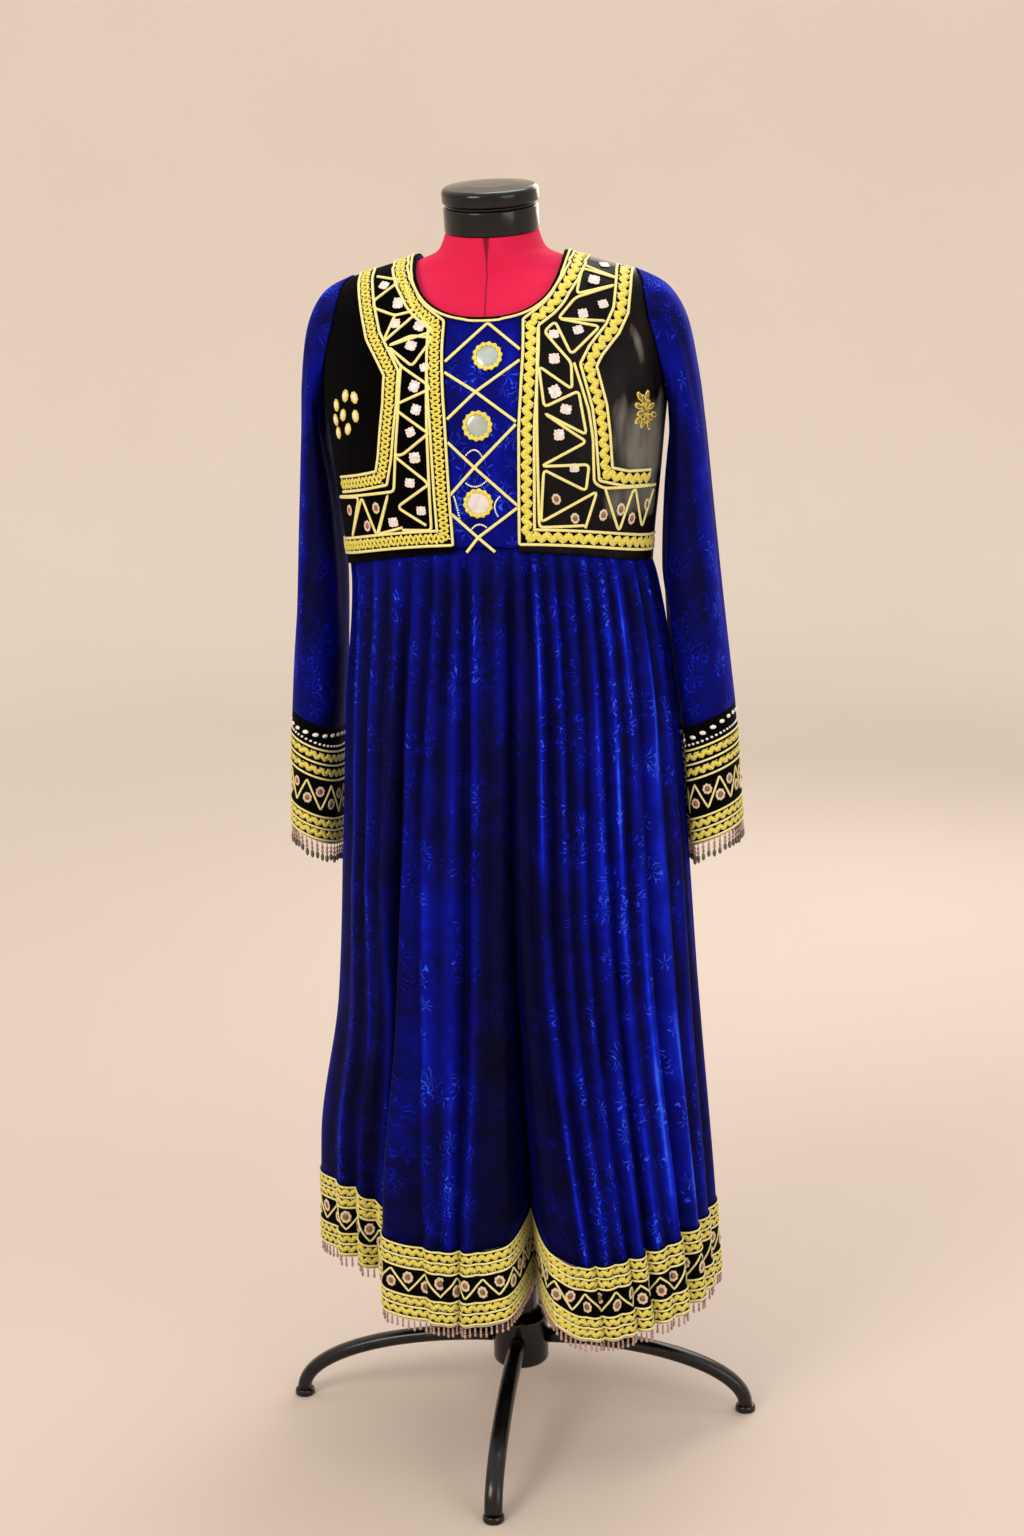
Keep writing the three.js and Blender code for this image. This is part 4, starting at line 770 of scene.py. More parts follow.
DRAGS = [  # start, end, half width, depth
    ((196, 1310), (150, 1345), 5, 1.0), ((190, 1275), (140, 1330), 6, 1.1),
    ((188, 1240), (150, 1290), 5, 0.8), ((186, 1200), (140, 1150), 6, 0.9),
    ((180, 1400), (150, 1330), 6, 1.0), ((183, 1165), (160, 1130), 5, 0.8),
]
SELVAGE = 5.5  # how far the vest fronts reach down over the waist seam
cutters = [armhole_cutter(-1), armhole_cutter(1)]
front_angles = np.radians(np.linspace(-179.9, -0.1, 121))
back_angles = np.radians(np.linspace(0.1, 179.9, 121))
right_angles = np.radians(np.linspace(-179.9, -90 - PLACKET_ANGLE, 61))
left_angles = np.radians(np.linspace(-90 + PLACKET_ANGLE, -0.1, 61))

front_points = front_kept(bodice_grid(front_angles, 60))
placket_nap = 0.5 + 0.08 * np.sin(front_points[..., 0] / 7) * np.sin(front_points[..., 2] / 45)
bodice_front = cloth("bodice_front_cloth", front_points, False, BLUE, placket_nap, cutters)
back_points = bodice_grid(back_angles, 60)
back_points[..., 1] = np.maximum(back_points[..., 1], SEAM_GAP)
back_push = bodice_relief(back_points)[..., None]
back_points -= back_push * grid_normals(back_points, False)
# Painted shade in the troughs of the drag lines
back_painted_shade = 0.5 - back_push[..., 0] * 0.3
bodice_back = cloth("bodice_back_cloth", back_points, False, BLUE, back_painted_shade, cutters)
vests = []
vest_parts = ("right", right_angles, BLACK_VELVET), ("left", left_angles, BLACK_SATIN)
for name, angles, material in vest_parts:
    points = front_kept(bodice_grid(angles, 60, SELVAGE, BINDING + 1.4, VEST_FACE))
    points -= bodice_relief(points)[..., None] * 0.5 * grid_normals(points, False)
    x, z = points[..., 0], points[..., 2]
    # Painted reflection on the satin: on the side of the bust, in a thin crease at the shoulder, along
    # the hem
    shine = 0.95 * np.exp(-(((x - 182) / 34) ** 2) - ((z - 1262) / 52) ** 4)
    crease = x - 172 - (1375 - z) * 0.3
    shine += 0.7 * np.exp(-((crease / 5) ** 2) - ((z - 1372) / 24) ** 2)
    shine += 0.75 * np.exp(-(((x - 168) / 42) ** 2) - ((z - 1186) / 20) ** 4)
    vests.append(cloth(f"vest_{name}_cloth", points, False, material, shine, cutters))
for armhole in cutters:
    bpy.data.objects.remove(armhole)
print("bodice area", [round(surface_area(o) / 2, 3) for o in (bodice_front, bodice_back, *vests)])

# %% [markdown]
# The skirt hangs from the waist in large soft folds, with fine gathers at its top. A cloth
# simulation could make such folds, but then they would not be the photographed ones, so they
# follow the table, and only the small ones are placed between them one by one.

# %% Skirt
FOLD_COLUMNS = 14
SKIRT_ROWS = 84
front_columns = np.linspace(-0.5, FRONT_FOLDS - 0.5, FRONT_FOLDS * FOLD_COLUMNS + 1)
back_count = (FOLD_COUNT - FRONT_FOLDS) * FOLD_COLUMNS + 1
back_columns = np.linspace(FRONT_FOLDS - 0.5, FOLD_COUNT - 0.5, back_count)
skirt_heights = BAND_TOP + (WAIST - 0.4 - BAND_TOP) * np.linspace(0, 1, SKIRT_ROWS) ** 0.9
skirts = []
for name, columns in (("front", front_columns), ("back", back_columns)):
    points, crest, way = skirt_grid(skirt_heights, columns)
    # Each side edge is drawn in a little, so that the two panels don't run into each other
    points[:, 0] += (points[:, 1] - points[:, 0]) * 0.03
    points[:, -1] += (points[:, -2] - points[:, -1]) * 0.03
    nap = skirt_painted_light(columns, skirt_heights, crest, way)
    skirts.append(cloth(f"skirt_{name}_cloth", points, False, BLUE, nap))
print("skirt area", [round(surface_area(o) / 2, 3) for o in skirts])

# %% [markdown]
# The sleeves are tubes through a few slanting rings, from the armhole to the cuff. Long soft
# folds run down them because they hang empty.

# %% Sleeves and cuffs
# Rings from the head to the cuff's lower edge: how far out and how high the ring is on its outside,
# the same on its inside, its middle from front to back, and half its depth
SLEEVE = np.array([
    (203, 1436, 206, 1288, 7, 58), (226, 1398, 206, 1262, 10, 62), (238, 1330, 203, 1236, 12, 64),
    (245, 1262, 199, 1196, 14, 65), (255, 1150, 195, 1104, 18, 65), (265, 1040, 199, 1004, 24, 64),
    (276, 932, 208, 902, 32, 62), (284, 784, 214, 754, 38, 60),
], float)
SLEEVE_POWER, SLEEVE_CLEAR, SLEEVE_UNEVEN = 2.2, 5, 6
SLEEVE_SIDES = 96
SLEEVE_FOLDS = [  # angle, first and last ring, half width in degrees, depth
    (-150, 0.8, 6.2, 13, 2.4), (-112, 1.6, 4.8, 12, 1.8), (-78, 2.6, 6.6, 14, 2.6),
    (-46, 1.0, 4.2, 13, 2.0), (-20, 3.0, 6.6, 14, 2.6), (18, 1.4, 5.0, 13, 2.0),
    (52, 2.8, 6.5, 14, 2.4), (88, 1.2, 4.4, 13, 2.0), (122, 2.2, 6.4, 14, 2.6),
    (158, 1.0, 4.6, 12, 1.8),
]


def side_of(y, z, side):
    """Half width of what a sleeve hangs beside, at a depth and a height."""
    reach = []
    for rows, half_key, power in ((BODICE, "half", sized(BODICE, "power", z)),
                                  (SKIRT, "right" if side < 0 else "left", SKIRT_POWER)):
        front, back = sized(rows, "front", z), sized(rows, "back", z)
        depth = np.where(y < 0, front, back)
        ratio = np.minimum(np.abs(y) / depth, 1)
        reach.append(sized(rows, half_key, z) * (1 - ratio**power) ** (1 / power))
    return np.maximum(np.where(z > WAIST - 20, reach[0], 0), np.where(z < WAIST + 40, reach[1], 0))


def sleeve_rings(side):
    """The head on the armhole's edge, the rings of the table, and the cuff's lower edge."""
    turns = round_turn(SLEEVE_SIDES)
    y = ARMHOLE_Y + (ARMHOLE_DEPTH + 2.5) * np.sin(turns)
    z = ARMHOLE_Z + (ARMHOLE_HEIGHT + 2.5) * np.cos(turns)
    head = np.stack([side * side_of(y, z, side), y, z], -1)
    rings = [raised(head, 4.5)[0]]
    for k, (out_x, out_z, in_x, in_z, middle, depth) in enumerate(SLEEVE):
        outward = (1 + signed(np.cos(turns), 2 / SLEEVE_POWER)) / 2
        y = middle + depth * signed(np.sin(turns), 2 / SLEEVE_POWER)
        z = in_z + (out_z - in_z) * outward
        x = in_x + (out_x + side * SLEEVE_UNEVEN * min(k / 3, 1) - in_x) * outward
        rings.append(np.stack([side * np.maximum(x, side_of(y, z, side) + SLEEVE_CLEAR), y, z], -1))
    return np.array(rings)


def sleeve_grid(side):
    """Dense rows from the cuff's top up to the head, with the places of its long folds."""
    rings = sleeve_rings(side)
    stops = np.arange(len(rings) - 1)
    fine = np.concatenate([np.linspace(0, 1, 16)[:-1], np.linspace(1, 7, 60)])
    points = np.empty((len(fine), SLEEVE_SIDES, 3))
    for c in range(SLEEVE_SIDES):
        for axis in range(3):
            points[:, c, axis] = curve(stops, rings[:-1, c, axis], fine)
    beside = side_of(points[..., 1], points[..., 2], side) + SLEEVE_CLEAR * smooth(fine)[:, None]
    out = side * points[..., 0]
    points[..., 0] = side * np.maximum(out, np.minimum(beside, out + 4))
    turns = np.linspace(0, 360, SLEEVE_SIDES, endpoint=False)
    inward = np.zeros(points.shape[:2])
    for k, (middle, top, bottom, half, deep) in enumerate(SLEEVE_FOLDS):
        lean = 10 * np.sin(fine * 0.9 + k) + side * 6
        apart = (turns[None, :] - middle - lean[:, None] + 180) % 360 - 180
        window = smooth((fine - top) / 0.8) * smooth((bottom - fine) / 1.2)
        inward += deep * np.exp(-((apart / half) ** 2)) * window[:, None]
    ripples = np.sin(np.radians(turns) * 14 + side)
    near_head = smooth(fine / 0.3) * smooth((1.2 - fine) / 0.8)
    inward += ripples[None, :] * near_head[:, None] * 0.6
    points, inward = points[::-1], inward[::-1]
    normal = grid_normals(points, True) * side
    return points - normal * inward[..., None], inward, rings


def shaped_bands(top, bottom, outward, stripes, count):
    """Rows of points down the outside of a band with raised stripes, and back up its inside."""
    shares = np.linspace(0, 1, count)
    lifts = np.interp(shares, *zip(*stripes))
    rows = [top + (bottom - top) * share + outward * lift for share, lift in zip(shares, lifts)]
    rows += [bottom - outward * BAND_CLOTH, top - outward * BAND_CLOTH]
    return np.array(rows)


def band_object(name, rows):
    """Closes rows of points that run down the outside and back up the inside into one ring."""
    count, columns = rows.shape[:2]
    faces = grid_faces(count, columns, True)
    for c in range(columns):
        last, after = (count - 1) * columns, (c + 1) % columns
        faces.append((last + c, last + after, after, c))
    run = np.linalg.norm(rows[0] - np.roll(rows[0], -1, 0), axis=1)
    u = np.concatenate([[0], np.cumsum(run)[:-1]])
    v = np.concatenate([[0], np.cumsum(np.linalg.norm(np.diff(rows[:, 0], axis=0), axis=1))])
    uv = np.stack(np.broadcast_arrays(u[None, :], v[:, None]), -1)
    obj = mesh_object(name, rows, faces, BLACK_BAND, uv)
    face_outwards(obj)
    return obj


BAND_CLOTH = 1.8
CUFF_DEEP = 148
CUFF_GAP = 0.36  # between the sleeve's lower edge and the cuff
# Raised stripes, as shares of the depth and how far they stand proud
CUFF_STRIPES = [
    (0, 0), (0.17, 0), (0.19, 1.2), (0.46, 1.2), (0.48, 0), (0.75, 0), (0.77, 1.2), (1, 1.2),
]
sleeves, cuffs, cuff_edges = [], [], {}
for name, side in (("right", -1), ("left", 1)):
    points, inward, rings = sleeve_grid(side)
    turns = round_turn(SLEEVE_SIDES)[None, :]
    # Painted light and shade: the outer side lighter, the side by the body and the troughs of the folds
    # darker, with a faint ripple
    outer = 0.5 + 0.5 * np.cos(turns)
    nap = 0.3 + 0.27 * outer**1.3 - inward * 0.08 + 0.07 * np.sin(points[..., 2] / 70 + turns * 3)
    sleeves.append(cloth(f"sleeve_{name}_cloth", points, True, BLUE, nap, flip=side < 0))
    top, bottom = rings[-2], rings[-1]
    outward = grid_normals(np.array([bottom, top]), True)[0] * side
    top = top + (bottom - top) * CUFF_GAP / CUFF_DEEP
    cuff_edges[side] = top, bottom, outward
    rows = shaped_bands(top, bottom, outward, CUFF_STRIPES, 40)
    cuffs.append(band_object(f"cuff_{name}_cloth", rows))
print("sleeve area", [round(surface_area(o) / 2, 3) for o in (*sleeves, *cuffs)])

# %% Hem band
BAND_STRIPES = [(0, 1.2), (0.32, 1.2), (0.345, 0), (0.655, 0), (0.68, 1.2), (1, 1.2)]
band_columns = np.linspace(0, FOLD_COUNT, FOLD_COUNT * FOLD_COLUMNS, endpoint=False)
band_top = skirt_grid([BAND_TOP], band_columns, False)[0][0]
band_top[:, 2] -= 0.75  # the seam between the skirt and the band
band_bottom = skirt_grid([HEM], band_columns, False)[0][0]
band_bottom[:, 2] = band_top[:, 2] - BAND_DEEP
run = np.roll(band_top, -1, 0) - np.roll(band_top, 1, 0)
band_out = np.stack([run[:, 1], -run[:, 0], 0 * run[:, 0]], -1)
band_out /= np.linalg.norm(band_out, axis=1, keepdims=True)
band_rows = shaped_bands(band_top, band_bottom, band_out, BAND_STRIPES, 30)
hem_band = band_object("hem_band_cloth", band_rows)
print("hem band area", round(surface_area(hem_band) / 2, 3))

# %% [markdown]
# The dress form is a smooth torso covered in red jersey, with a leaning neck ring and a dial on
# top. It stands on a pole with four arched legs. Turned pieces are spun from short profiles.

# %% Dress form and stand
FORM = np.array([
    (795, 156, 104, 88, 2.2, 0), (812, 162, 109, 91, 2.2, 0), (960, 164, 108, 88, 2.2, 0),
    (1118, 168, 106, 84, 2.3, 0), (1210, 184, 122, 94, 2.3, 0), (1270, 190, 125, 99, 2.3, 0),
    (1320, 195, 118, 102, 2.35, 0), (1365, 196, 102, 100, 2.4, 0), (1400, 191, 85, 91, 2.4, 0),
    (1430, 176, 68, 77, 2.3, 0), (1447, 157, 54, 63, 2.2, 0), (1457, 128, 48, 52, 2.1, 0),
    (1467, 94, 48, 50, 2.0, 0), (1480, 64, 53, 52, 2.0, 0.1), (1501, 54.5, 54.5, 54.5, 2.0, 0.2035),
])
NECK_Z, NECK_TILT, NECK_RADIUS, STUMP_RADIUS = 1501, math.radians(11.5), 56, 54.5


def closed_rings(name, rings, material, uv=None):
    """A solid through rings of points, with flat ends."""
    count, sides = rings.shape[:2]
    faces = grid_faces(count, sides, True)
    faces += [tuple(range(sides - 1, -1, -1)), tuple(range((count - 1) * sides, count * sides))]
    return mesh_object(name, rings, faces, material, uv)


turns = round_turn(96)[None, :]
levels = [795, 797, 801, 806, *np.linspace(812, 1440, 60), *np.linspace(1444, NECK_Z, 26)]
levels = np.array(levels)[:, None]
half, front, back, power, tilt = (curve(FORM[:, 0], FORM[:, k], levels) for k in range(1, 6))
y = np.where(np.sin(turns) < 0, front, back) * signed(np.sin(turns), 2 / power)
torso_points = np.stack([half * signed(np.cos(turns), 2 / power), y, levels + tilt * y], -1)
# The throat is filled out at the middle, so that the front runs up to the neck ring
fuller = np.maximum(STUMP_RADIUS - front, 0) * np.exp(-((torso_points[..., 0] / 42) ** 2))
fuller = fuller * (levels > 1440)
torso_points[..., 1] -= np.where(torso_points[..., 1] < 0, fuller * smooth((levels - 1440) / 15), 0)
torso = closed_rings("torso_jersey", torso_points, JERSEY, grid_uv(torso_points, True))


def spun(name, profile, material, sides=96, tilt=0.0, centre=(0, 0, 0)):
    """Spins a profile of radius and height round an upright axis."""
    profile = np.array(profile, float)
    profile[:, 0] = np.maximum(profile[:, 0], 0.02)
    turns = round_turn(sides)
    rings = np.array([[(r * np.cos(t), r * np.sin(t), z) for t in turns] for r, z in profile])
    c, s = math.cos(tilt), math.sin(tilt)
    rings = rings @ np.array([[1, 0, 0], [0, c, s], [0, -s, c]]) + np.array(centre)
    return closed_rings(name, rings, material)


def corner_bends(corners, radius, most):
    """Five places round each inner corner; a bend takes at most a share of each side."""
    corners = np.asarray(corners, float)
    for before, here, after in zip(corners, corners[1:], corners[2:]):
        sizes = np.linalg.norm(before - here), np.linalg.norm(after - here)
        cut = min(radius, sizes[0] * most, sizes[1] * most)
        start = here + (before - here) / sizes[0] * cut
        end = here + (after - here) / sizes[1] * cut
        shares = (0, 0.25, 0.5, 0.75, 1)
        yield [(1 - t) ** 2 * start + 2 * t * (1 - t) * here + t * t * end for t in shares]


def rounded_corners(corners, radius):
    """Rounds the corners of a profile, so that the edges catch the light."""
    rounded = [point for bend in corner_bends(corners, radius, 0.45) for point in bend]
    return [corners[0], *rounded, corners[-1]]


ring_profile = [(0, 0.4), (55, 0.4), (NECK_RADIUS, 1.6), (NECK_RADIUS, 27.5), (54.5, 29), (0, 29)]
dial_profile = [
    (0, 29.3), (53.5, 29.3), (53.5, 32), (57, 34), (57.5, 47), (54, 51), (30, 53.5), (0, 54),
]
ring_profile, dial_profile = rounded_corners(ring_profile, 1), rounded_corners(dial_profile, 3)
neck_ring = spun("neck_ring_gloss", ring_profile, PLASTIC, 128, NECK_TILT, (0, 0, NECK_Z))
neck_dial = spun("neck_dial_gloss", dial_profile, PLASTIC, 128, NECK_TILT, (0, 0, NECK_Z))
hub_profile = [(0, 62), (32, 62), (36, 66), (36, 124), (28, 132), (0, 132)]
hub = spun("hub_gloss", rounded_corners(hub_profile, 3), PLASTIC)
pole_profile = [(0, 132.3), (22.5, 132.3), (22.5, 164), (17.5, 168), (17.5, 794.7), (0, 794.7)]
pole = spun("pole_gloss", rounded_corners(pole_profile, 1.2), STEEL, 64)
legs, feet = [], []
LEG_COUNT, LEG_RINGS = 4, 40
LEG_START, LEG_REACH = 36.3, 292  # from the hub's side to the middle of the foot
LEG_LOW, LEG_HIGH = 8.3, 96
for number in range(LEG_COUNT):
    bends = np.linspace(0, 1, LEG_RINGS) * math.pi / 2
    facing = number * math.pi / 2
    reach = LEG_START + (LEG_REACH - LEG_START) * np.sin(bends)
    centre = np.stack([reach, LEG_LOW + (LEG_HIGH - LEG_LOW) * np.cos(bends)], -1)
    section = round_turn(24)
    rings = []
    for k, (out, height) in enumerate(centre):
        way = centre[min(k + 1, LEG_RINGS - 1)] - centre[max(k - 1, 0)]
        way = way / np.linalg.norm(way)
        if k in (0, LEG_RINGS - 1):  # level at the hub, upright at the foot
            way = np.array([1.0, 0.0]) if k == 0 else np.array([0.0, -1.0])
        upward = np.array([-way[1], way[0]])
        wide, tall = 11 * signed(np.cos(section), 0.8), 9 * signed(np.sin(section), 0.8)
        rings.append(np.stack([out + upward[0] * tall, wide, height + upward[1] * tall], -1))
    rings = np.array(rings)
    c, s = math.cos(facing), math.sin(facing)
    x, y, z = (rings[..., axis] for axis in range(3))
    rings = np.stack([x * c - y * s, x * s + y * c, z], -1)
    legs.append(closed_rings(f"leg_{number + 1}_gloss", rings, STEEL))
    foot_profile = rounded_corners([(0, 0), (13, 0), (13, 5), (11.5, 8), (0, 8)], 1)
    middle = LEG_REACH * c, LEG_REACH * s, 0
    feet.append(spun(f"foot_{number + 1}_gloss", foot_profile, PLASTIC, 40, 0, middle))
print("form and stand made")

# %% [markdown]
# Everything sewn on is either a line or a repeat, so two Geometry Nodes trees make it all. The
# first turns a chain of points into a cord or a wavy rick-rack ribbon: a profile swept along
# the path, swung from side to side. The second puts copies of one bead, ring or mirror on
# points, each turned to face out of the cloth. Sweeping by hand would work too, but a tree keeps
# the sizes in one place and every row of trim follows the same rule.

# %% The tree for cords and ribbons
def socket_key(tree, name):
    """The identifier by which a modifier knows an input of its tree."""
    return next(item.identifier for item in tree.interface.items_tree if item.name == name)


def new_tree(name, inputs):
    """A Geometry Nodes tree with named inputs, each with its kind and its first value."""
    tree = bpy.data.node_groups.new(name, "GeometryNodeTree")
    tree.interface.new_socket("Geometry", in_out="INPUT", socket_type="NodeSocketGeometry")
    for title, kind, value in inputs:
        item = tree.interface.new_socket(title, in_out="INPUT", socket_type=f"NodeSocket{kind}")
        if value is not None:
            item.default_value = value
    tree.interface.new_socket("Geometry", in_out="OUTPUT", socket_type="NodeSocketGeometry")
    return tree, tree.nodes.new("NodeGroupInput"), tree.nodes.new("NodeGroupOutput")


def cord_tree():
    """Sweeps a rounded flat profile along a chain of points that carry the way out."""
    tree, given, made = new_tree("swept_cord", [
        ("Width", "Float", 0.003), ("Height", "Float", 0.002), ("Swing", "Float", 0.0),
        ("Pitch", "Float", 0.012), ("Step", "Float", 0.003), ("Sides", "Int", 6),
        ("Material", "Material", None),
    ])
    path = add_node(tree, "GeometryNodeMeshToCurve", {"Mesh": given.outputs["Geometry"]})
    links = {"Curve": path, "Length": given.outputs["Step"]}
    fine = add_node(tree, "GeometryNodeResampleCurve", links, mode="LENGTH")
    kind = "GeometryNodeInputNamedAttribute"
    out = add_node(tree, kind, {"Name": "out"}, data_type="FLOAT_VECTOR")
    facing = add_node(tree, "GeometryNodeSetCurveNormal", {"Curve": fine, "Normal": out}, mode="FREE")
    along = add_node(tree, "GeometryNodeInputTangent")
    beside = add_node(tree, VECTOR_MATH, {0: out, 1: along}, operation="CROSS_PRODUCT")
    across = add_node(tree, VECTOR_MATH, {0: beside}, operation="NORMALIZE")
    length = add_node(tree, "GeometryNodeSplineParameter").outputs["Length"]
    turns = add_node(tree, MATH, {0: length, 1: given.outputs["Pitch"]}, operation="DIVIDE")
    turns = add_node(tree, MATH, {0: turns, 1: 2 * math.pi}, operation="MULTIPLY")
    wave = add_node(tree, MATH, {0: turns}, operation="SINE")
    reach = add_node(tree, MATH, {0: wave, 1: given.outputs["Swing"]}, operation="MULTIPLY")
    swing = add_node(tree, VECTOR_MATH, {0: across, "Scale": reach}, operation="SCALE")
    swung = add_node(tree, "GeometryNodeSetPosition", {"Geometry": facing, "Offset": swing})
    links = {"Radius": 0.5, "Resolution": given.outputs["Sides"]}
    circle = add_node(tree, "GeometryNodeCurvePrimitiveCircle", links)
    links = {"X": given.outputs["Height"], "Y": given.outputs["Width"], "Z": 1.0}
    size = add_node(tree, "ShaderNodeCombineXYZ", links)
    profile = add_node(tree, "GeometryNodeTransform", {"Geometry": circle, "Scale": size})
    links = {"Curve": swung, "Profile Curve": profile, "Fill Caps": True}
    swept = add_node(tree, "GeometryNodeCurveToMesh", links)
    real = add_node(tree, "GeometryNodeRealizeInstances", {"Geometry": swept})
    links = {"Geometry": real, "Material": given.outputs["Material"]}
    finish = add_node(tree, "GeometryNodeSetMaterial", links)
    soft = add_node(tree, "GeometryNodeSetShadeSmooth", {"Geometry": finish})
    tree.links.new(soft.outputs[0], made.inputs[0])
    return tree


CORD_TREE = cord_tree()


def scatter_tree():
    """Puts copies of one object on points, standing out of the cloth, each with its own size."""
    inputs = [("Item", "Object", None), ("Material", "Material", None)]
    tree, given, made = new_tree("sewn_on_copies", inputs)
    kind = "GeometryNodeInputNamedAttribute"
    stored = ({"Name": name} for name in ("out", "along", "size"))
    out, along, size = (add_node(tree, kind, links, data_type="FLOAT_VECTOR") for links in stored)
    links = {"Primary Axis": out, "Secondary Axis": along}
    turned = add_node(tree, "FunctionNodeAxesToRotation", links, primary_axis="Z", secondary_axis="X")
    item = add_node(tree, "GeometryNodeObjectInfo", {"Object": given.outputs["Item"]})
    spots = add_node(tree, "GeometryNodeMeshToPoints", {"Mesh": given.outputs["Geometry"]})
    links = {"Points": spots, "Instance": item.outputs["Geometry"], "Rotation": turned, "Scale": size}
    copies = add_node(tree, "GeometryNodeInstanceOnPoints", links)
    real = add_node(tree, "GeometryNodeRealizeInstances", {"Geometry": copies})
    links = {"Geometry": real, "Material": given.outputs["Material"]}
    finish = add_node(tree, "GeometryNodeSetMaterial", links)
    tree.links.new(finish.outputs[0], made.inputs[0])
    return tree


SCATTER_TREE = scatter_tree()


# %% Using the trees
def run_tree(name, tree, points, edges, vectors, inputs):
    """Makes a plain mesh by running a tree on points that carry vectors such as the way out."""
    mesh = bpy.data.meshes.new(name)
    mesh.from_pydata((np.asarray(points) * METRE).tolist(), edges, [])
    for key, value in vectors.items():
        attribute = mesh.attributes.new(key, "FLOAT_VECTOR", "POINT")
        attribute.data.foreach_set("vector", np.asarray(value, float).ravel())
    obj = bpy.data.objects.new(name, mesh)
    bpy.context.scene.collection.objects.link(obj)
    modifier = obj.modifiers.new("made", "NODES")
    modifier.node_group = tree
    for title, value in inputs.items():
        modifier[socket_key(tree, title)] = value
    apply_modifiers(obj)
    return obj


def swept(name, paths, material, width, height, swing=0.0, pitch=12.0, step=3.0, sides=6, closed=False):
    """One object of cords or ribbons along paths, each a pair of points and ways out."""
    points, outs, edges, start = [], [], [], 0
    for path, out in paths:
        points.append(path)
        outs.append(out)
        edges += [(start + k, start + k + 1) for k in range(len(path) - 1)]
        if closed:
            edges.append((start + len(path) - 1, start))
        start += len(path)
    sizes = {"Width": width, "Height": height, "Swing": swing, "Pitch": pitch, "Step": step}
    inputs = {key: float(value * METRE) for key, value in sizes.items()}
    inputs |= {"Sides": sides, "Material": material}
    return run_tree(name, CORD_TREE, np.vstack(points), edges, {"out": np.vstack(outs)}, inputs)


def scattered(name, item, material, points, out, along, size):
    """Copies of an item on points; the size is one number or three for each point."""
    size = np.asarray(size, float) * METRE
    if size.ndim < 2:
        size = np.repeat(np.broadcast_to(size, len(points))[:, None], 3, 1)
    vectors = {"out": out, "along": along, "size": size}
    return run_tree(name, SCATTER_TREE, points, [], vectors, {"Item": item, "Material": material})


def offset_path(points, out, across):
    """Moves a path sideways on the cloth, with its corners mitred."""
    way = np.diff(points, axis=0)
    way = way / np.maximum(np.linalg.norm(way, axis=1, keepdims=True), 1e-9)
    before, after = np.vstack([way[:1], way]), np.vstack([way, way[-1:]])
    sides = np.cross(out, before), np.cross(out, after)
    side = sides[0] + sides[1]
    side /= np.maximum(np.linalg.norm(side, axis=1, keepdims=True), 1e-9)
    widen = 1 / np.maximum((side * sides[0]).sum(1, keepdims=True), 0.6)
    return points + side * across * widen


def walked(corners, step):
    """Places along straight stretches between corners, no further apart than a step."""
    corners = np.asarray(corners, float)
    places = [corners[0]]
    for a, b in zip(corners, corners[1:]):
        count = max(1, int(np.ceil(np.linalg.norm(b - a) / step)))
        places += [a + (b - a) * k / count for k in range(1, count + 1)]
    return np.array(places)


def rounded_walk(corners, step=4, radius=5):
    """The same, with each corner rounded as a cord bends."""
    corners = np.asarray(corners, float)
    places = [corners[0]]
    for bend in corner_bends(corners, radius, 0.4):
        places += list(walked([places[-1], bend[0]], step)[1:])
        places += bend[1:]
    places += list(walked([places[-1], corners[-1]], step)[1:])
    return np.array(places)


# %% [markdown]
# The items that are repeated: a bead, a petalled ring, a flat glass, a ragged square frame and
# a hanging strand. Each is small and light, because hundreds of copies are made of some.

# %% Items to repeat
def item_object(name, points, faces):
    """An item one metre in radius, to be scaled where it is sewn on."""
    obj = mesh_object(name, np.asarray(points) / METRE, faces, WHITE)
    face_outwards(obj)
    return obj


def bead_points(sides, levels, centre=(0, 0, 0), size=(1, 1, 1)):
    """A ball as rings of points and faces, with a point at each end of its Y axis."""
    points, faces = [(0, 1, 0)], []
    for level in range(1, levels):
        a = math.pi * level / levels
        points += [(math.sin(a) * math.cos(t), math.cos(a), math.sin(a) * math.sin(t))
                   for t in np.arange(sides) * 2 * math.pi / sides]
    points.append((0, -1, 0))
    last = len(points) - 1
    for k in range(sides):
        after = (k + 1) % sides
        faces.append((0, 1 + k, 1 + after))
        for level in range(levels - 2):
            low, high = 1 + level * sides, 1 + (level + 1) * sides
            faces.append((low + k, high + k, high + after, low + after))
        faces.append((last, last - sides + after, last - sides + k))
    return np.array(points) * size + np.array(centre), faces


def joined(parts):
    points, faces, start = [], [], 0
    for part_points, part_faces in parts:
        points.append(part_points)
        faces += [tuple(start + k for k in face) for face in part_faces]
        start += len(part_points)
    return np.vstack(points), faces


def ring_item(name, inner, wave, petals, sides=48, section=8, square=0.0):
    """A soft ring of thread round a glass; a square share pulls it towards a square."""
    points = []
    for t in np.arange(sides) * 2 * math.pi / sides:
        box = 1 / max(abs(math.cos(t)), abs(math.sin(t)))
        middle = (1 + inner) / 2 * (1 + (box - 1) * square)
        reach = (1 - inner) / 2 * (1 + wave * math.sin(petals * t))
        for a in np.arange(section) * 2 * math.pi / section:
            r = middle + reach * math.cos(a)
            points.append((r * math.cos(t), r * math.sin(t), 0.1 + 0.1 * math.sin(a)))
    faces = []
    for k in range(sides):
        here, after = k * section, (k + 1) % sides * section
        for n in range(section):
            m = (n + 1) % section
            faces.append((here + n, after + n, after + m, here + m))
    return item_object(name, points, faces)


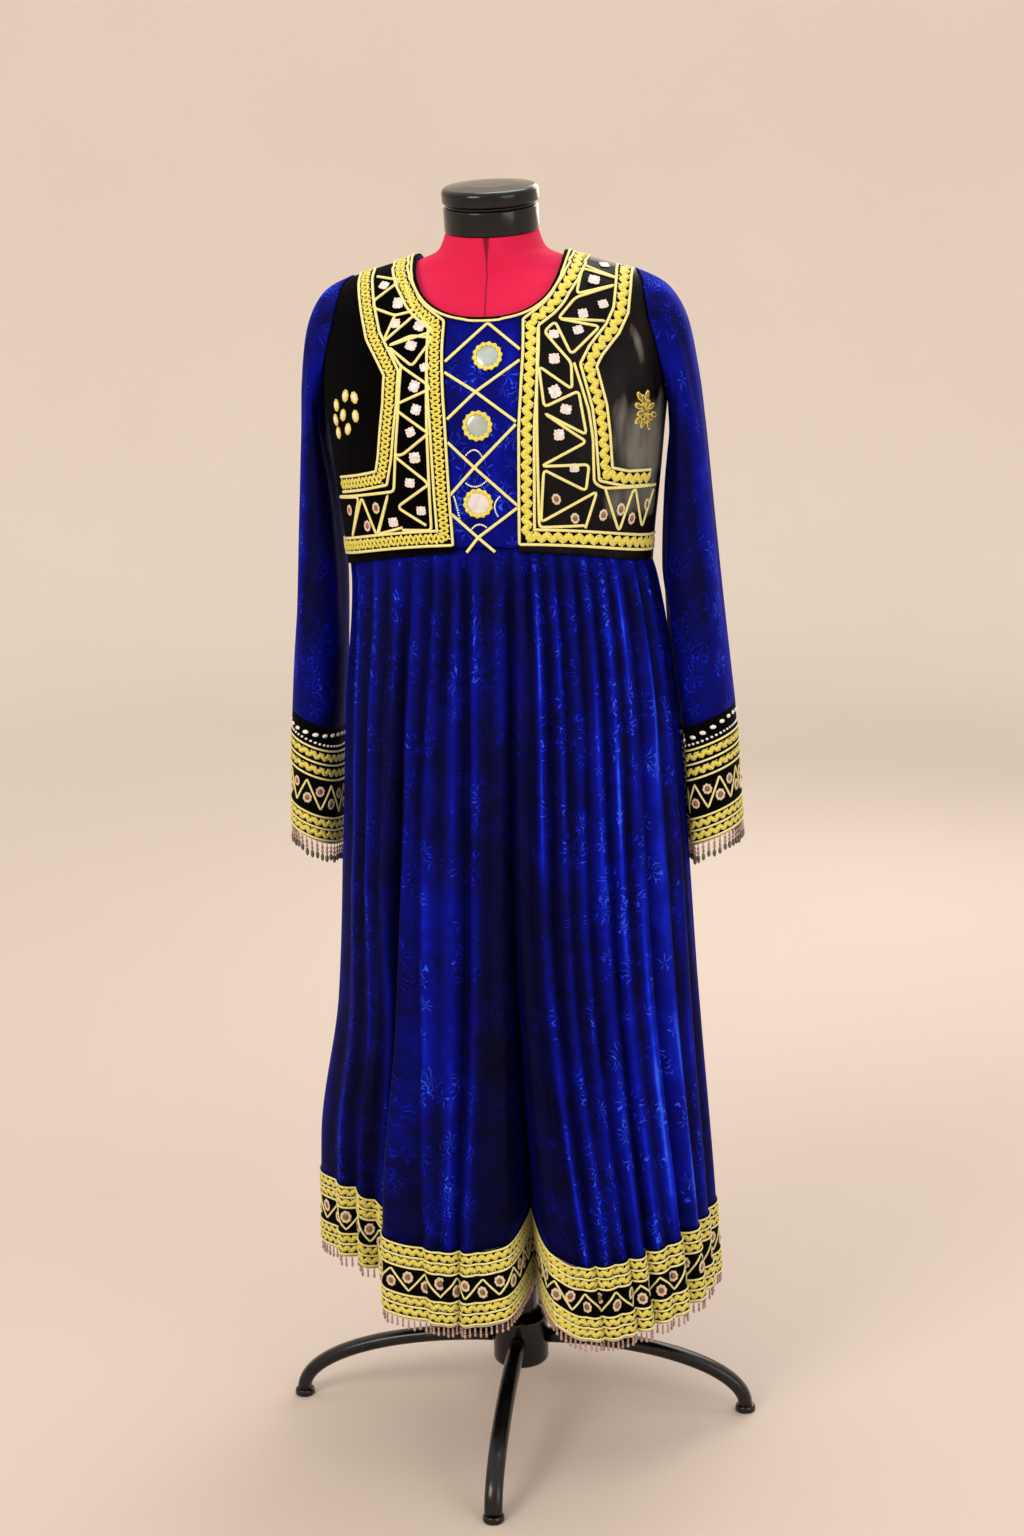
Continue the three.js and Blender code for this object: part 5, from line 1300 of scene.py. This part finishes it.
def plate_item(name, sides, turn=0.0):
    """A thin glass plate with a softly domed face."""
    rings = [(0.0, 0.0), (1.0, 0.0), (1.0, 0.05), (0.85, 0.1), (0.45, 0.125)]
    angles = np.arange(sides) * 2 * math.pi / sides + turn
    points = [(r * math.cos(t), r * math.sin(t), z) for r, z in rings[1:] for t in angles]
    faces = grid_faces(len(rings) - 1, sides, True)
    faces += [tuple(range(sides - 1, -1, -1)), tuple(range(3 * sides, 4 * sides))]
    return item_object(name, points, faces)


bead = item_object("item_bead", *bead_points(10, 6))
petal_ring = ring_item("item_petal_ring", 0.72, 0.35, 14, 84)
small_ring = ring_item("item_small_ring", 0.5, 0.3, 8, 32, 6)
square_ring = ring_item("item_square_ring", 0.62, 0.45, 9, 40, 6, 0.8)
round_plate = plate_item("item_round_plate", 40)
square_plate = plate_item("item_square_plate", 4, math.pi / 4)
strand_parts = [
    bead_points(6, 4, (0, -0.08, 0), (0.05, 0.1, 0.05)),
    bead_points(8, 5, (0, -0.27, 0), (0.11, 0.11, 0.11)),
    bead_points(8, 5, (0, -0.48, 0), (0.12, 0.11, 0.12)),
]
strand = item_object("item_strand", *joined(strand_parts))
drop = item_object("item_drop", *bead_points(8, 6, (0, -0.79, 0), (0.14, 0.21, 0.14)))
items = [bead, petal_ring, small_ring, square_ring, round_plate, square_plate, strand, drop]
print("items", len(items))

# %% [markdown]
# The braid on the vest is a black ground with a gold rick-rack ribbon swinging along it, tiny
# white beads in its notches, and a cream cord on each edge. One path serves all of them: the
# cords are that path moved sideways.

# %% Braids and cords of the vest
CORD, RIBBON, BRAID = 3.5, 8.4, 21  # widths
RICK_RACK = 12.5  # one wave of the ribbon
FACE = VEST_FACE


def cloth_path(places, height):
    """Points and ways out along the bodice, for places that already lie on it."""
    return raised(np.asarray(places, float), height)


def inner_braid(side):
    """The middle of the braid down the neckline, down the placket and along the waist."""
    def angle_at(degrees):
        return np.radians(-90 + side * (90 - np.asarray(degrees, float)))

    def below_neckline(angles, distance):
        grid = bodice_grid(angles, 200)[::-1]
        steps = np.linalg.norm(np.diff(grid, axis=0), axis=-1).cumsum(0)
        rows = [np.searchsorted(column, distance) + 1 for column in steps.T]
        return grid[rows, np.arange(len(angles))]

    neck = below_neckline(angle_at(np.linspace(5, 74, 34)), BINDING + 2 + BRAID / 2)
    down = angle_at([78.0])
    top = below_neckline(down, BINDING + 4 + BRAID / 2)[0, 2]
    bottom = waist_height(down)[0] + 13
    heights = np.linspace(top, bottom, 40)
    placket = bodice_points(np.full(40, down[0]), heights)
    share = np.linspace(0, 1, 40)[1:]
    angles = angle_at(78 + (4 - 78) * share)
    waist = bodice_points(angles, waist_height(angles) + 13 + 4 * share)
    return np.vstack([neck, placket, waist])


OUTER_BRAID = np.array([
    (-146, 1455, 157, 1452), (-144, 1440, 157, 1434), (-138, 1412, 155, 1404), (-130, 1382, 146, 1383),
    (-116, 1358, 128, 1360), (-106, 1340, 120, 1344), (-108, 1305, 125, 1326), (-112, 1275, 132, 1298),
    (-116, 1244, 135, 1268), (-121, 1221, 137, 1221), (-150, 1215, 160, 1214), (-176, 1211, 183, 1213),
], float)
braid_middles = []
for side, column in ((-1, 0), (1, 2)):
    braid_middles.append(inner_braid(side))
    braid_middles.append(on_front(walked(OUTER_BRAID[:, column : column + 2], 6)))
grounds, ribbons, cords, dots = [], [], [], []
for middle in braid_middles:
    points, out = cloth_path(middle, FACE + 0.4)
    grounds.append((points, out))
    points, out = cloth_path(middle, FACE + 1.3)
    ribbons.append((points, out))
    for edge in (-1, 1):
        path = offset_path(*cloth_path(middle, 0), edge * (BRAID - CORD) / 2)
        cords.append(cloth_path(path, FACE + 1.2))
braid_ground = swept("braid_ground", grounds, BLACK_BAND, BRAID - 2, 0.9, step=5, sides=8)
braid_ribbon = swept("braid_rick_rack", ribbons[2:], GOLD, RIBBON, 1.3, 2.9, RICK_RACK, 1.5, 6)
crossed = [swept("braid_crossed_ribbon", ribbons[:2], GOLD, 3.5, 1.3, 4.4, RICK_RACK, 1.25, 6)]
over = [(points + out * 0.5, out) for points, out in ribbons[:2]]
crossed.append(swept("braid_crossed_ribbon_over", over, GOLD, 3.5, 1.3, -4.4, RICK_RACK, 1.25, 6))
print("braids", len(braid_ground.data.polygons), len(braid_ribbon.data.polygons))

# %% Zigzag cords, from how they lie in the photograph
ZIGZAG_RIGHT = [
    [(-130, 1448), (-100, 1443), (-131, 1421), (-130, 1413), (-104, 1404), (-81, 1409), (-94, 1439)],
    [(-104, 1404), (-117, 1374), (-77, 1407), (-58, 1385), (-111, 1370), (-83, 1381), (-58, 1378),
     (-81, 1347), (-111, 1370), (-95, 1348), (-63, 1327), (-59, 1322), (-100, 1305), (-100, 1299),
     (-67, 1276), (-61, 1273), (-94, 1248), (-105, 1248), (-68, 1219), (-64, 1214), (-100, 1190),
     (-100, 1186), (-69, 1167)],
    [(-181, 1195), (-152, 1198), (-166, 1147), (-148, 1198), (-131, 1153), (-113, 1204),
     (-129, 1155), (-98, 1164)],
]
ZIGZAG_LEFT = [
    [(112, 1454), (152, 1438), (110, 1451), (105, 1423), (149, 1432), (104, 1419), (85, 1396),
     (140, 1392), (85, 1396), (132, 1386), (101, 1356), (82, 1393), (70, 1382), (101, 1347),
     (102, 1318), (65, 1344), (71, 1299), (109, 1316), (117, 1267), (70, 1293), (117, 1259),
     (66, 1233), (119, 1233), (115, 1203), (69, 1229), (64, 1169), (127, 1202), (113, 1160)],
    [(136, 1204), (149, 1153), (165, 1199), (168, 1201), (173, 1155), (186, 1198)],
]
for lines in (*ZIGZAG_RIGHT, *ZIGZAG_LEFT):
    cords.append(cloth_path(on_front(rounded_walk(lines)), FACE + 1.1))
BESIDE_BRAIDS = [
    [(-64, 1383), (-63, 1161), (-98, 1161)], [(63, 1385), (62, 1163), (112, 1163)],
    [(-94, 1349), (-96, 1320), (-98, 1289), (-101, 1262), (-106, 1206), (-180, 1196)],
    [(104, 1347), (112, 1322), (120, 1294), (124, 1262), (124, 1212), (134, 1205), (188, 1203)],
]
for lines in BESIDE_BRAIDS:
    cords.append(cloth_path(on_front(rounded_walk(lines)), FACE + 1.1))
vest_cords = swept("vest_cords", cords, CREAM, CORD, 2.3, step=2.5, sides=7)

LACES = [
    [(-43, 1352), (5, 1394), (43, 1364)], [(43, 1352), (-7, 1318), (-40, 1288)],
    [(-40, 1262), (-10, 1233), (38, 1189)], [(38, 1186), (-9, 1152), (-23, 1135)],
    [(-43, 1340), (-7, 1318), (39, 1284)], [(39, 1281), (-10, 1233), (-39, 1202)],
    [(-39, 1180), (-9, 1152), (10, 1135)],
]
laces = [cloth_path(on_front(rounded_walk(line, 5, 2)), 1.6) for line in LACES]
lacing = swept("placket_cords", laces, CREAM, 3.7, 2.2, step=2, sides=7)

# The neckline: a cream cord all round over a black binding
neck_angles = np.radians(np.linspace(0, 360, 240, endpoint=False))
neck_grid = bodice_grid(neck_angles, 260)
top_steps = np.linalg.norm(np.diff(neck_grid[::-1], axis=0), axis=-1).cumsum(0)


def round_neck(distance, height):
    """A path round the neckline, at a distance below its edge and a height above the cloth."""
    rows = [np.searchsorted(top_steps[:, c], distance) for c in range(len(neck_angles))]
    points = neck_grid[::-1][rows, np.arange(len(neck_angles))]
    return raised(points, height)


path = [round_neck(2.4, 2.0)]
binding = swept("neck_binding_cloth", path, BLACK_BAND, 5.4, 1.5, step=3, sides=8, closed=True)
path = [round_neck(5.2, 3.9)]
neck_cord = swept("neck_cord", path, CREAM, 3.0, 2.2, step=2.5, sides=7, closed=True)
print("cords", len(vest_cords.data.polygons), len(lacing.data.polygons))


# %% [markdown]
# Mirrors and beads lie on points read off the photograph. Each point is lifted to the cloth
# it is sewn on, and its copy is turned to face out of that cloth.

# %% Mirrors and beads of the bodice
UP = np.array([0.0, 0.0, 1.0])
rng = np.random.default_rng(11)


def level_way(out, turn=0.0):
    """A direction along the cloth, turned from level by an angle in degrees."""
    level = np.cross(UP, out)
    level /= np.linalg.norm(level, axis=1, keepdims=True)
    steep = np.cross(out, level)
    turn = np.radians(np.broadcast_to(turn, len(out)))[:, None]
    return level * np.cos(turn) + steep * np.sin(turn)


def sewn(name, item, material, places, height, size, turn=0.0):
    """Copies of an item on the bodice, at places seen from the front."""
    points, out = raised(on_front(places), height)
    return scattered(name, item, material, points, out, level_way(out, turn), size)


MIRRORS = [(6, 1357), (-5, 1280), (-7, 1192)]
mirror_rings = []
for k, spot in enumerate(MIRRORS):
    mirror_rings.append(sewn(f"mirror_ring_{k + 1}", petal_ring, GOLD, [spot], 1.0, [[17, 17, 11]]))
mirror_glass = sewn("mirror_glass_round", round_plate, GLASS, MIRRORS[:2], 0.9, [[13.5, 13.5, 11]] * 2)
pale_mirror = sewn("mirror_glass_pale", round_plate, PALE_GLASS, MIRRORS[2:], 0.9, [[13.5, 13.5, 11]])

SQUARES = [
    (-120, 1438), (-101, 1418), (-103, 1395), (-74, 1392), (-83, 1370), (-66, 1346), (-78, 1325),
    (-76, 1299), (-83, 1274), (-79, 1245), (-86, 1216), (-74, 1184), (-109, 1170), (134, 1454),
    (124, 1438), (135, 1411), (113, 1401), (81, 1379), (108, 1383), (82, 1352), (83, 1316),
    (95, 1296), (87, 1268), (103, 1230),
]
square_turns = rng.uniform(-24, 24, len(SQUARES))
square_sizes = rng.uniform(5.6, 6.8, len(SQUARES))
square_heights = square_sizes * rng.uniform(0.85, 1.1, len(SQUARES))
sizes = np.stack([square_sizes, square_heights, np.full(len(SQUARES), 8)], -1)
spots = SQUARES, FACE + 0.2
square_frames = sewn("square_mirror_threads", square_ring, PALE, *spots, sizes, square_turns)
spots, sizes = (SQUARES, FACE + 0.6), sizes * [0.95, 0.95, 1.1]
square_glass = sewn("square_mirror_glass", square_plate, PALE_GLASS, *spots, sizes, square_turns)
OVALS = [
    (82, 1195), (102, 1172), (133, 1174), (152, 1179), (163, 1167), (179, 1181), (-167, 1181),
    (-143, 1164), (-130, 1186),
]
oval_sizes = np.array([[5.6, 7.2, 8]] * len(OVALS)) * rng.uniform(0.9, 1.1, (len(OVALS), 1))
oval_turns = rng.uniform(-20, 20, len(OVALS))
spots = OVALS, FACE + 0.2
oval_rings = sewn("oval_mirror_rings", small_ring, ROSE_CREAM, *spots, oval_sizes, oval_turns)
oval_beads = sewn("oval_mirror_beads", bead, AMBER, OVALS, FACE + 1.0, oval_sizes * [0.5, 0.55, 0.2])

FLOWER = [
    (-164, 1315), (-152, 1313), (-177, 1304), (-168, 1293), (-151, 1292), (-179, 1287), (-162, 1277),
    (-176, 1272),
]
flower_sizes = np.array([[5.4, 7.4, 9]] * len(FLOWER))
flower_turns = [-10, 25, 5, -20, 8, 15, -25, 0]
flower_rings = sewn("flower_bead_rims", small_ring, GOLD, FLOWER, FACE, flower_sizes, flower_turns)
sizes = flower_sizes * [0.66, 0.66, 0.28]
flower_beads = sewn("flower_beads", bead, PALE, FLOWER, FACE + 1.0, sizes, flower_turns)

# The cluster's beads lie as seeds do in a sunflower: a turn of 2.4 radians from each to the next
CLUSTER_COUNT = 15
angles = np.arange(CLUSTER_COUNT) * 2.4
spread = np.sqrt(np.arange(CLUSTER_COUNT) / (CLUSTER_COUNT - 1))
CLUSTER = np.stack([180 + 9 * spread * np.cos(angles), 1290 + 21 * spread * np.sin(angles)], -1)
cluster_turns = np.degrees(angles) + 90
sizes = np.array([[3.4, 6.4, 8]] * CLUSTER_COUNT)
cluster_rings = sewn("cluster_bead_rims", small_ring, GOLD, CLUSTER, FACE, sizes, cluster_turns)
sizes = sizes * [0.6, 0.7, 0.28]
cluster_beads = sewn("cluster_beads", bead, AMBER, CLUSTER, FACE + 1.0, sizes, cluster_turns)


def arc_places(arc, count):
    """Places along a bent line through three points."""
    a, b, c = (np.array(p, float) for p in arc)
    t = np.linspace(0, 1, count)[:, None]
    middle = 2 * b - (a + c) / 2
    return (1 - t) ** 2 * a + 2 * t * (1 - t) * middle + t * t * c


ARCS = [
    ((-21, 1245), (-10, 1253), (-1, 1246)), ((-20, 1215), (-9, 1211), (3, 1217)),
    ((-35, 1200), (-32, 1188), (-29, 1172)), ((18, 1199), (12, 1189), (15, 1177)),
    ((-18, 1159), (-9, 1167), (1, 1164)),
]
seed_places = np.vstack([arc_places(arc, 12) for arc in ARCS])
seed_beads = sewn("placket_seed_beads", bead, WHITE, seed_places, 1.2, 1.1)

# Tiny white beads in the notches of the rick-rack
for middle in braid_middles:
    points, out = cloth_path(middle, 0)
    steps = np.linalg.norm(np.diff(points, axis=0), axis=1)
    length = np.concatenate([[0], np.cumsum(steps)])
    for share, edge in ((0.25, -1), (0.75, 1)):
        stops = np.arange(share * RICK_RACK, length[-1], RICK_RACK)
        beside = offset_path(points, out, edge * 5.9)
        dots.append(np.stack([np.interp(stops, length, beside[:, k]) for k in range(3)], -1))
dot_points, dot_out = raised(np.vstack(dots), FACE + 1.2)
braid_dots = scattered("braid_seed_beads", bead, WHITE, dot_points, dot_out, level_way(dot_out), 0.95)
print("mirrors and beads", len(SQUARES), len(OVALS), len(dot_points))

# %% [markdown]
# Cuffs and hem band carry the same embroidery: rows of rick-rack between cords, and a plain
# black stripe with a zigzag cord and ringed mirrors. One function reads any place on a band from
# a distance round it and a share of its height, so both bands use the same rows.

# %% Rows on a band
class Band:
    """A band of cloth between two rings of points, with the way it faces."""

    def __init__(self, top, bottom, out):
        self.top, self.bottom, self.out = top, bottom, out
        middle = (top + bottom) / 2
        steps = np.linalg.norm(np.roll(middle, -1, 0) - middle, axis=1)
        self.length = np.concatenate([[0], np.cumsum(steps)])
        self.whole = self.length[-1]

    def spots(self, distance, share, height):
        """Points, ways out and ways along at distances round the band."""
        distance = np.asarray(distance, float) % self.whole
        share = np.broadcast_to(share, distance.shape)[:, None]

        def at(ring):
            ring = np.vstack([ring, ring[:1]])
            return np.stack([np.interp(distance, self.length, ring[:, k]) for k in range(3)], -1)

        out = at(self.out)
        out /= np.linalg.norm(out, axis=1, keepdims=True)
        points = at(self.top) * (1 - share) + at(self.bottom) * share + out * height
        along = np.cross(UP, out)
        return points, out, along / np.linalg.norm(along, axis=1, keepdims=True)

    def row(self, share, height, spacing=3.0):
        count = int(self.whole / spacing)
        points, out, _ = self.spots(np.arange(count) * self.whole / count, share, height)
        return points, out

    def zigzag(self, high, low, pitch, height):
        """A closed zigzag between two shares of the height; also the middles of its triangles."""
        teeth = round(self.whole / pitch)
        corners = np.arange(teeth * 2 + 1) * self.whole / (teeth * 2)
        shares = np.where(np.arange(teeth * 2 + 1) % 2 == 0, high, low)
        fine = np.linspace(0, self.whole, teeth * 2 * 9, endpoint=False)
        points, out, _ = self.spots(fine, np.interp(fine, corners, shares), height)
        middles = np.where(shares[:-1] == high, low - (low - high) * 0.3, high + (low - high) * 0.3)
        return (points, out), corners[:-1], middles


def trim_band(name, band, cords, ribbons, zigzag, ribbon_width, ring_size):
    """The cords, rick-racks, zigzag and ringed mirrors of one band."""
    base = 1.2  # the raised stripes; the zigzag lies between them, on the cloth itself
    cord_rows = [band.row(share, base + 0.8) for share in cords]
    line, corners, middles = band.zigzag(*zigzag, 0.9)
    ribbon_rows = [band.row(share, base + 0.5) for share in ribbons]
    pitch = band.whole / round(band.whole / 11)  # about 11 mm, and a whole number of waves
    sizes = ribbon_width, 1.1, 2.1, pitch, 1.6, 5
    made = [
        swept(f"{name}_cords", [*cord_rows, line], CREAM, 2.7, 1.9, step=3.2, sides=6, closed=True),
        swept(f"{name}_rick_rack", ribbon_rows, GOLD, *sizes, closed=True),
    ]
    points, out, along = band.spots(corners, middles, 0.0)
    sizes = np.array([[ring_size, ring_size * 1.15, 8]] * len(points))
    sizes = sizes * rng.uniform(0.92, 1.08, (len(points), 1))
    made.append(scattered(f"{name}_ring_threads", small_ring, ROSE_CREAM, points, out, along, sizes))
    points, sizes = points + out * 0.9, sizes * [0.5, 0.5, 0.2]
    made.append(scattered(f"{name}_ring_beads", bead, AMBER, points, out, along, sizes))
    seeds = []
    for share in ribbons:
        stops = np.arange(0, band.whole - 4, pitch)
        for phase, edge in ((0.25, 1), (0.75, -1)):
            seeds.append(band.spots(stops + phase * pitch, share + edge * 4.3 / SPAN[name], base + 0.5))
    points, out, along = (np.vstack([s[k] for s in seeds]) for k in range(3))
    made.append(scattered(f"{name}_seed_beads", seed, WHITE, points, out, along, 0.8))
    return made


def fringe_on(name, band, spacing, length, width, start, drops):
    """Bead strands hanging from a band's lower edge, with a strip of thread over them."""
    count = round(band.whole / spacing)
    points, out, along = band.spots(np.arange(count) * band.whole / count, 1.0, -0.5)
    points = points - UP * start
    lengths, widths = length * rng.uniform(0.86, 1.05, count), np.full(count, width)
    sizes = np.stack([widths, lengths, widths], -1)
    beads = scattered(f"{name}_strands", strand, DROP, points, out, along, sizes)
    tips = scattered(f"{name}_drops", drop, drops, points, out, along, sizes)
    edge, edge_out = band.row(1.0, -0.5)
    path = [(edge - UP * start, edge_out)]
    strip = swept(f"{name}_strip", path, ROSE_CREAM, 2.4, 1.5, step=4, sides=5, closed=True)
    return [beads, tips, strip]


seed = item_object("item_seed", *bead_points(6, 4))
items.append(seed)
SPAN = {"hem": BAND_DEEP, "cuff_right": CUFF_DEEP, "cuff_left": CUFF_DEEP}
hem = Band(band_top, band_bottom, band_out)
cord_shares = 0.02, 0.165, 0.31, 0.69, 0.835, 0.98
ribbon_shares = 0.0925, 0.2375, 0.7625, 0.9075
zigzag = 0.37, 0.63, 45  # its top and bottom as shares of the depth, and the width of a tooth
hem_trims = trim_band("hem", hem, cord_shares, ribbon_shares, zigzag, 6.6, 6.8)
hem_fringe = fringe_on("hem_fringe", hem, spacing=7, length=15, width=13, start=1.6, drops=DROP)
cuff_trims, cuff_fringes = {}, {}
cord_shares = 0.2, 0.3225, 0.45, 0.785, 0.8875, 0.985
ribbon_shares = 0.26, 0.3875, 0.836, 0.936
zigzag = 0.5, 0.73, 34
for name, side in (("right", -1), ("left", 1)):
    order = slice(None, None, side)
    band = Band(*(ring[order] for ring in cuff_edges[side]))
    made = trim_band(f"cuff_{name}", band, cord_shares, ribbon_shares, zigzag, 6.4, 6)
    pearls = np.arange(0, band.whole - 6, 13.5)
    slant = 0.055 + 0.05 * np.sin(pearls / band.whole * 2 * np.pi + 0.6) ** 2
    points, out, along = band.spots(pearls, slant, 0.8)
    sizes = [[4.2, 2.5, 1.5]] * len(points)
    made.append(scattered(f"cuff_{name}_pearls", bead, WHITE, points, out, along, sizes))
    small = np.arange(0, band.whole - 3, 6.2)
    points, out, along = band.spots(small, 0.155, 0.7)
    sizes = [[2.0, 1.5, 1.2]] * len(points)
    made.append(scattered(f"cuff_{name}_small_pearls", bead, WHITE, points, out, along, sizes))
    cuff_trims[name] = made
    cuff_fringes[name] = fringe_on(f"cuff_{name}_fringe", band, 7.5, 25, 17, 1.0, DARK_DROP)
print("band trims", [len(o.data.polygons) for o in hem_trims])

# %% What each trim stands for
trims = [
    (braid_ground, "band_cloth", ()),
    (braid_ribbon, "gold_braid", ("inner_braid_left", "outer_braid_left")),
    (crossed[0], "gold_braid", ("inner_braid_right", "outer_braid_right")),
    (crossed[1], "gold_braid", ()),
    (vest_cords, "cream_cord", ("zigzag_cord_right", "zigzag_cord_left")),
    (lacing, "cream_cord", ("placket_lacing",)),
    (binding, "edging", ("neck_binding",)),
    (neck_cord, "cream_cord", ()),
    (mirror_glass, "mirror_glass", ()),
    (pale_mirror, "mirror_glass", ()),
    (square_glass, "mirror_glass", ()),
    (square_frames, "cream_cord", ()),
    (oval_rings, "cream_cord", ()),
    (flower_rings, "gold_braid", ()),
    (cluster_rings, "gold_braid", ()),
]
trims += [(ring, "gold_braid", (f"placket_mirror_{k + 1}",)) for k, ring in enumerate(mirror_rings)]
for piece in (oval_beads, flower_beads, cluster_beads, seed_beads, braid_dots):
    trims.append((piece, "bead_fringe", ()))
BAND_SLOTS = ["cream_cord", "gold_braid", "cream_cord", *["bead_fringe"] * 4]
for made in (hem_trims, *cuff_trims.values()):
    trims += [(piece, slot, ()) for piece, slot in zip(made, BAND_SLOTS)]
fringes = {"hem_fringe": hem_fringe}
fringes |= {f"cuff_fringe_{side}": cuff_fringes[side] for side in ("right", "left")}
for node, (beads, tips, strip) in fringes.items():
    trims += [(beads, "bead_fringe", (node,)), (tips, "bead_fringe", ()), (strip, "bead_fringe", ())]
for item in items:
    bpy.data.objects.remove(item)

# %% [markdown]
# The dress stands on a pale floor that curves up all round into a warm wall, as paper does in a
# photographer's studio, so every view has the same plain ground. A large soft light comes from
# the front left, weaker ones from the right and from behind, and an even glow from above.

# %% Studio floor and light
def floor_paper():
    """Matt paper, a little greyer near the dress, with a faint cloudiness and grain."""
    material, tree, shader, where = new_material("warm_paper_floor", "Object")
    away = add_node(tree, VECTOR_MATH, {0: where}, operation="LENGTH").outputs["Value"]
    far = add_node(tree, RANGE, {"Value": away, "From Min": 1.0, "From Max": 6.0})
    links = {0: far, 6: linear("#cabdb2"), 7: linear("#f4ebe2")}
    plain = add_node(tree, MIX, links, data_type="RGBA").outputs[2]
    clouds = add_node(tree, NOISE, {"Vector": where, "Scale": 1.2, "Detail": 3})
    share = add_node(tree, MATH, {0: clouds, 1: 0.12}, operation="MULTIPLY")
    links = {0: share, 6: plain, 7: linear("#b9a897")}
    mixed = add_node(tree, MIX, links, data_type="RGBA").outputs[2]
    grain = add_node(tree, NOISE, {"Vector": where, "Scale": 300, "Detail": 2})
    bump = add_node(tree, BUMP, {"Height": grain, "Distance": 0.0002, "Strength": 0.2})
    set_inputs(tree, shader, {"Base Color": mixed, "Normal": bump, "Roughness": 0.9})
    return material


def studio_floor():
    """A round floor whose rim bends up into a wall, spun from one profile."""
    flat, bend, sides = 5, 2, 120  # the flat part's radius and the bend's, in metres
    turns = np.linspace(0, math.pi / 2, 14)
    profile = [(r, 0.0) for r in (0, 1, 2, 3.5, flat)]
    profile += [(flat + bend * math.sin(a), bend - bend * math.cos(a)) for a in turns[1:]]
    profile += [(flat + bend, z) for z in (3, 4.5, 6)]
    around = round_turn(sides)
    below = 0.0005  # the floor lies half a millimetre under the feet
    points = [(r * math.cos(a), r * math.sin(a), z - below) for r, z in profile for a in around]
    faces = [face[::-1] for face in grid_faces(len(profile), sides, True)]
    floor = mesh_object("studio_floor", np.array(points) / METRE, faces, floor_paper())
    work = bmesh.new()
    work.from_mesh(floor.data)
    bmesh.ops.remove_doubles(work, verts=work.verts, dist=0.001)
    work.to_mesh(floor.data)
    work.free()


def area_light(name, where, aim, size, power, colour):
    lamp = bpy.data.lights.new(name, "AREA")
    lamp.size, lamp.energy, lamp.color = size, power, linear(colour)[:3]
    obj = bpy.data.objects.new(name, lamp)
    bpy.context.scene.collection.objects.link(obj)
    obj.location = where
    obj.rotation_euler = (Vector(aim) - Vector(where)).to_track_quat("-Z", "Y").to_euler()


studio_floor()
# Each light's place, what it aims at, its size in metres, its watts and its colour
area_light("soft_key", (-1.7, -2.7, 2.6), (0, 0, 0.95), 1.4, 64, "#fff2e6")
area_light("soft_fill", (2.4, -2.1, 1.6), (0, 0, 1.0), 1.8, 30, "#f4f4ff")
area_light("soft_back", (0.9, 2.8, 2.4), (0, 0, 1.0), 1.8, 36, "#fff4ea")
area_light("top_light", (0.2, 0.6, 3.2), (0, 0, 1.2), 1.2, 22, "#ffffff")
world = bpy.data.worlds.new("soft_room")
bpy.context.scene.world = world
world.use_nodes = True
world.node_tree.nodes["Background"].inputs[0].default_value = linear("#f7f1ea")
world.node_tree.nodes["Background"].inputs[1].default_value = 1.0

# %% [markdown]
# Each piece now hides any solids that it stands for. The pieces all ride on the one root body,
# because cloth has no joints.

# %% Hand over to the frame
def hand_over(obj, slot, *nodes):
    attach(obj, "root")
    if nodes:
        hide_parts(*nodes)


hand_over(bodice_front, "velvet", "bodice_front")
hand_over(bodice_back, "velvet", "bodice_back")
hand_over(vests[0], "vest_velvet", "vest_front_right")
hand_over(vests[1], "vest_satin", "vest_front_left")
hand_over(skirts[0], "velvet", "skirt_front")
hand_over(skirts[1], "velvet", "skirt_back")
hand_over(sleeves[0], "velvet", "sleeve_right")
hand_over(sleeves[1], "velvet", "sleeve_left")
hand_over(cuffs[0], "band_cloth", "cuff_right")
hand_over(cuffs[1], "band_cloth", "cuff_left")
hand_over(hem_band, "band_cloth", "hem_band")
hand_over(torso, "form_jersey", "form_torso")
hand_over(neck_ring, "neck_plastic", "neck_ring")
hand_over(neck_dial, "neck_plastic", "neck_dial")
hand_over(hub, "stand_steel", "stand_hub")
hand_over(pole, "stand_steel", "stand_pole")
for number in range(LEG_COUNT):
    hand_over(legs[number], "stand_steel", f"stand_leg_{number + 1}")
    hand_over(feet[number], "foot_plastic", f"stand_foot_{number + 1}")
for obj, slot, nodes in trims:
    hand_over(obj, slot, *nodes)
